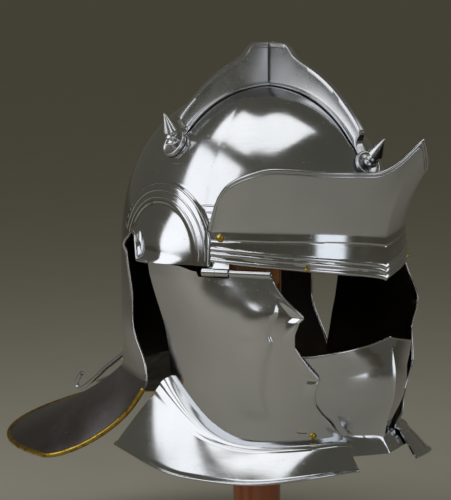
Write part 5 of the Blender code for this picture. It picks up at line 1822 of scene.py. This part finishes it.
@dataclass
class Hinge:
    """The bowl's half of a hinge: knuckle, pin and the leaf inside the wall, and the leather tab beside it."""

    side: Side
    leaf_height: float = 0.019
    leaf_thickness: float = 0.0012
    leaf_inset: float = 0.0009
    tab_thickness: float = 0.0022
    tab_angles: tuple[float, float] = (71.0, 39.0)

    def build(self, finishes: Finishes) -> None:
        """Makes the knuckle, leaf and pin, and the leather tab.

        Args:
            finishes: every finish.
        """
        rear, front = CHEEK.hinge(self.side)
        split = rear.lerp(front, CHEEK.hinge_share)
        length, total = (split - rear).length - GAP, (front - rear).length
        outer, pin = CHEEK.knuckle, CHEEK.pin
        profile = [(pin * 0.9, -0.0006), (pin * 1.35, -0.0003), (pin * 1.35, 0.0), (outer - 0.0005, 0.0),
                   (outer, 0.0005), (outer, length * 0.495), (outer - 0.00035, length * 0.50),
                   (outer, length * 0.505), (outer, length - 0.0005), (outer - 0.0005, length), (pin, length),
                   (pin, total + GAP), (pin * 1.3, total + GAP), (pin * 1.2, total + 0.0006),
                   (0.0, total + 0.0007)]
        knuckle = turned("knuckle", profile, 28, finishes.polished, rear, (front - rear).normalized())
        leaf = make_sheet("leaf", self.leaf_rows(rear, split), finishes.polished, finishes.inside,
                          self.leaf_thickness)
        give(merge("hinge_knuckle_" + self.side.label, [knuckle, leaf]), "helmet", "polished_steel",
             "hinge_" + self.side.label)
        self.build_tab(finishes)

    def leaf_rows(self, rear: Vector, split: Vector) -> list[Row]:
        """The rows of the leaf that carries the knuckle inside the wall."""
        rows = []
        shares = spread(0.06, 0.94, 9)
        for height in [CHEEK.hinge_level + self.leaf_height * s for s in (1.0, 0.8, 0.6, 0.42, 0.24, 0.0)]:
            row = []
            for share in shares if self.side is Side.RIGHT else reversed(shares):
                angle = blend(angle_of(rear), angle_of(split), share)
                point = BOWL.wall(angle, height, -(SHEET + self.leaf_inset))
                if height < CHEEK.hinge_level + 0.004:
                    turn = math.radians(angle)
                    base = rear.lerp(split, share)
                    point = base - Vector((math.cos(turn), math.sin(turn), 0.0)) * CHEEK.knuckle * 0.2
                row.append(point)
            rows.append(row)
        return rows

    def build_tab(self, finishes: Finishes) -> None:
        """Cuts the leather tab with a rounded lower edge."""
        inset = -(SHEET + self.leaf_inset + self.leaf_thickness + 2.0 * GAP)
        shares = spread(0.0, 1.0, 28)
        rows = []
        for step in spread(0.0, 1.0, 12):
            row = []
            for share in shares if self.side is Side.RIGHT else reversed(shares):
                angle = blend(self.tab_angles[0], self.tab_angles[1], share) * self.side.value
                corner = 0.0035 * max(1.0 - min(share, 1.0 - share) / 0.08, 0.0)
                height = blend(0.014, -0.0085 + corner, step)
                row.append(BOWL.wall(angle, height, inset - 0.0022 * smooth((0.014 - height) / 0.006)))
            rows.append(row)
        tab = make_sheet("tan_tab_" + self.side.label, rows, finishes.leather, finishes.leather,
                         self.tab_thickness)
        give(tab, "helmet", "leather", "leather_tab_" + self.side.label)


@dataclass
class ChinPlate:
    """The keeled chin plate with a rolled upper edge; it is fixed inside the left cheek guard."""

    rows: int = 60
    edge_radius: float = 0.0009

    def build(self, sweep: RoundSweep, finishes: Finishes) -> None:
        """Shapes the plate and its rolled edge.

        Args:
            sweep: the tree that rolls the edge.
            finishes: every finish.
        """
        rows = [[CHIN.point(a, share) for a in CHIN.angles(share)] for share in spread(0.0, 1.0, self.rows)]
        plate = make_sheet("keeled_chin_plate", rows, finishes.polished, finishes.inside, angle=50.0)
        give(plate, "cheek_left", "polished_steel", "chin_plate")
        upper = [p + (Vector((0.014, 0.0, p.z)) - p).normalized() * SHEET * 0.5 for p in rows[0]]
        give(sweep.sweep("chin_plate_edge", [rounded(upper, self.edge_radius)], self.edge_radius,
                         finishes.polished, 8, 60.0), "cheek_left", "polished_steel")


@dataclass
class NapeHook:
    """The carrying hook that leaves the skirt over the neck guard, and its thin stay."""

    radius: float = 0.0020
    stay_radius: float = 0.0009
    route: Table = ((-0.010, 0.735), (0.14, 0.800), (0.36, 0.985), (0.562, 1.155), (0.656, 1.232),
                     (0.752, 1.309),
                    (0.848, 1.400), (0.930, 1.470), (1.010, 1.535), (1.070, 1.572), (1.108, 1.562),
                     (1.117, 1.526),
                    (1.085, 1.460), (1.043, 1.403))
    stay: Table = ((0.548, 1.178), (0.537, 1.240), (0.540, 1.295), (0.575, 1.325), (0.658, 1.361),
                    (0.753, 1.403),
                   (0.866, 1.4626))

    def points(self, route: Table) -> Row:
        """A route's points in the helmet's middle plane."""
        back = BOWL.back + 0.002
        return smooth_route([place(-back - a * BOWL.guard_length, 0.0, -b * BOWL.skirt_depth)
                             for a, b in route], 6)

    def build(self, sweep: RoundSweep, finishes: Finishes) -> None:
        """Bends the hook and its stay.

        Args:
            sweep: the tree that draws the wires.
            finishes: every finish.
        """
        hook = rounded(self.points(self.route), self.radius)
        give(sweep.sweep("bent_hook", [hook], self.radius, finishes.crest, 20, 60.0), "helmet", "crest_steel",
             "nape_hook")
        stay = rounded(self.points(self.stay), self.stay_radius)
        give(sweep.sweep("hook_stay_wire", [stay], self.stay_radius, finishes.crest, 12, 60.0), "helmet",
             "crest_steel", "nape_hook_stay")


@dataclass(frozen=True)
class SoftBox:
    """A soft box: its bearing from the helmet's front, its place, size and brightness."""

    name: str
    bearing: float
    distance: float
    level: float
    width: float
    tall: float
    radiance: float
    colour: str = "#FFFFFF"
    aim: float = 0.25


@dataclass
class Studio:
    """A pale floor, soft lights and the camera."""

    target: tuple[float, float, float] = (-0.03728, 0.0, 0.255)
    azimuth: float = 42.0
    elevation: float = 8.0
    distance: float = 1.6
    lens: float = 144.0
    frame_height: float = 36.0
    room: str = "#55534A"
    boxes: tuple[SoftBox, ...] = (
        SoftBox("soft_box_left", -102.0, 0.95, 0.74, 0.95, 0.95, 1.4, "#FBFCFF"),
        SoftBox("soft_box_right", -23.0, 1.20, 0.52, 0.42, 1.04, 1.3, "#F4F8FF"),
        SoftBox("soft_box_far", 48.0, 1.00, 0.90, 0.40, 0.80, 1.3),
        SoftBox("soft_box_over", -95.0, 0.35, 1.45, 0.66, 0.66, 1.4),
    )

    def build(self) -> None:
        """Lays the floor, hangs the lights and sets the camera."""
        self.floor()
        self.lights()
        self.camera()

    def floor(self) -> None:
        """Lays a plain pale floor."""
        bm = bmesh.new()
        bmesh.ops.create_grid(bm, x_segments=8, y_segments=8, size=30.0)
        item = finish_mesh("paper_floor", bm, (PaperFinish().build(),))

    def hang(self, box: SoftBox) -> None:
        """Hangs a soft box that faces the helmet.

        Args:
            box: its place, size and brightness.
        """
        turn = math.radians(box.bearing)
        lamp = bpy.data.lights.new(box.name, "AREA")
        lamp.shape = "RECTANGLE"
        lamp.size, lamp.size_y = box.width, box.tall
        lamp.energy = box.radiance * box.width * box.tall * math.pi
        lamp.color = srgb(box.colour)[:3]
        item = bpy.data.objects.new(box.name, lamp)
        item.location = (box.distance * math.cos(turn), box.distance * math.sin(turn), box.level)
        aim = Vector((0.0, 0.0, box.aim)) - item.location
        item.rotation_euler = aim.to_track_quat("-Z", "Y").to_euler()
        item.visible_camera = False
        bpy.context.scene.collection.objects.link(item)

    def lights(self) -> None:
        """Hangs the soft boxes and sets the dim room."""
        for box in self.boxes:
            self.hang(box)
        world = bpy.data.worlds.new("dim_room")
        world.use_nodes = True
        back = world.node_tree.nodes["Background"]
        back.inputs["Color"].default_value = srgb(self.room)
        back.inputs["Strength"].default_value = 1.0
        bpy.context.scene.world = world

    def camera(self) -> None:
        """Sets the camera at the photograph's viewing angle."""
        side, rise = math.radians(self.azimuth), math.radians(self.elevation)
        back = Vector((math.cos(side) * math.cos(rise), -math.sin(side) * math.cos(rise), math.sin(rise)))
        camera = bpy.data.cameras.new("view")
        camera.lens = self.lens
        camera.sensor_fit = "VERTICAL"
        camera.sensor_height = self.frame_height
        camera.clip_end = 100.0
        item = bpy.data.objects.new("view", camera)
        item.location = Vector(self.target) + back * self.distance
        item.rotation_euler = (-back).to_track_quat("-Z", "Y").to_euler()
        bpy.context.scene.collection.objects.link(item)
        bpy.context.scene.camera = item
        bpy.context.scene.view_settings.view_transform = "Standard"


def main() -> None:
    """Builds every sub-assembly in order, then the studio."""
    logging.basicConfig(level=logging.INFO, format="%(name)s: %(message)s")
    finishes = Finishes.make()
    sweep, rivets = RoundSweep(), RivetField()
    Stand().build(sweep, finishes)
    BowlShell().build(sweep, finishes)
    BrowPeak().build(sweep, rivets, finishes)
    CrestBars().build(sweep, finishes)
    for side in Side:
        CheekGuard(side).build(sweep, rivets, finishes)
        Hinge(side).build(finishes)
    ChinPlate().build(sweep, finishes)
    NapeHook().build(sweep, finishes)
    Studio().build()


if __name__ == "__main__":
    main()
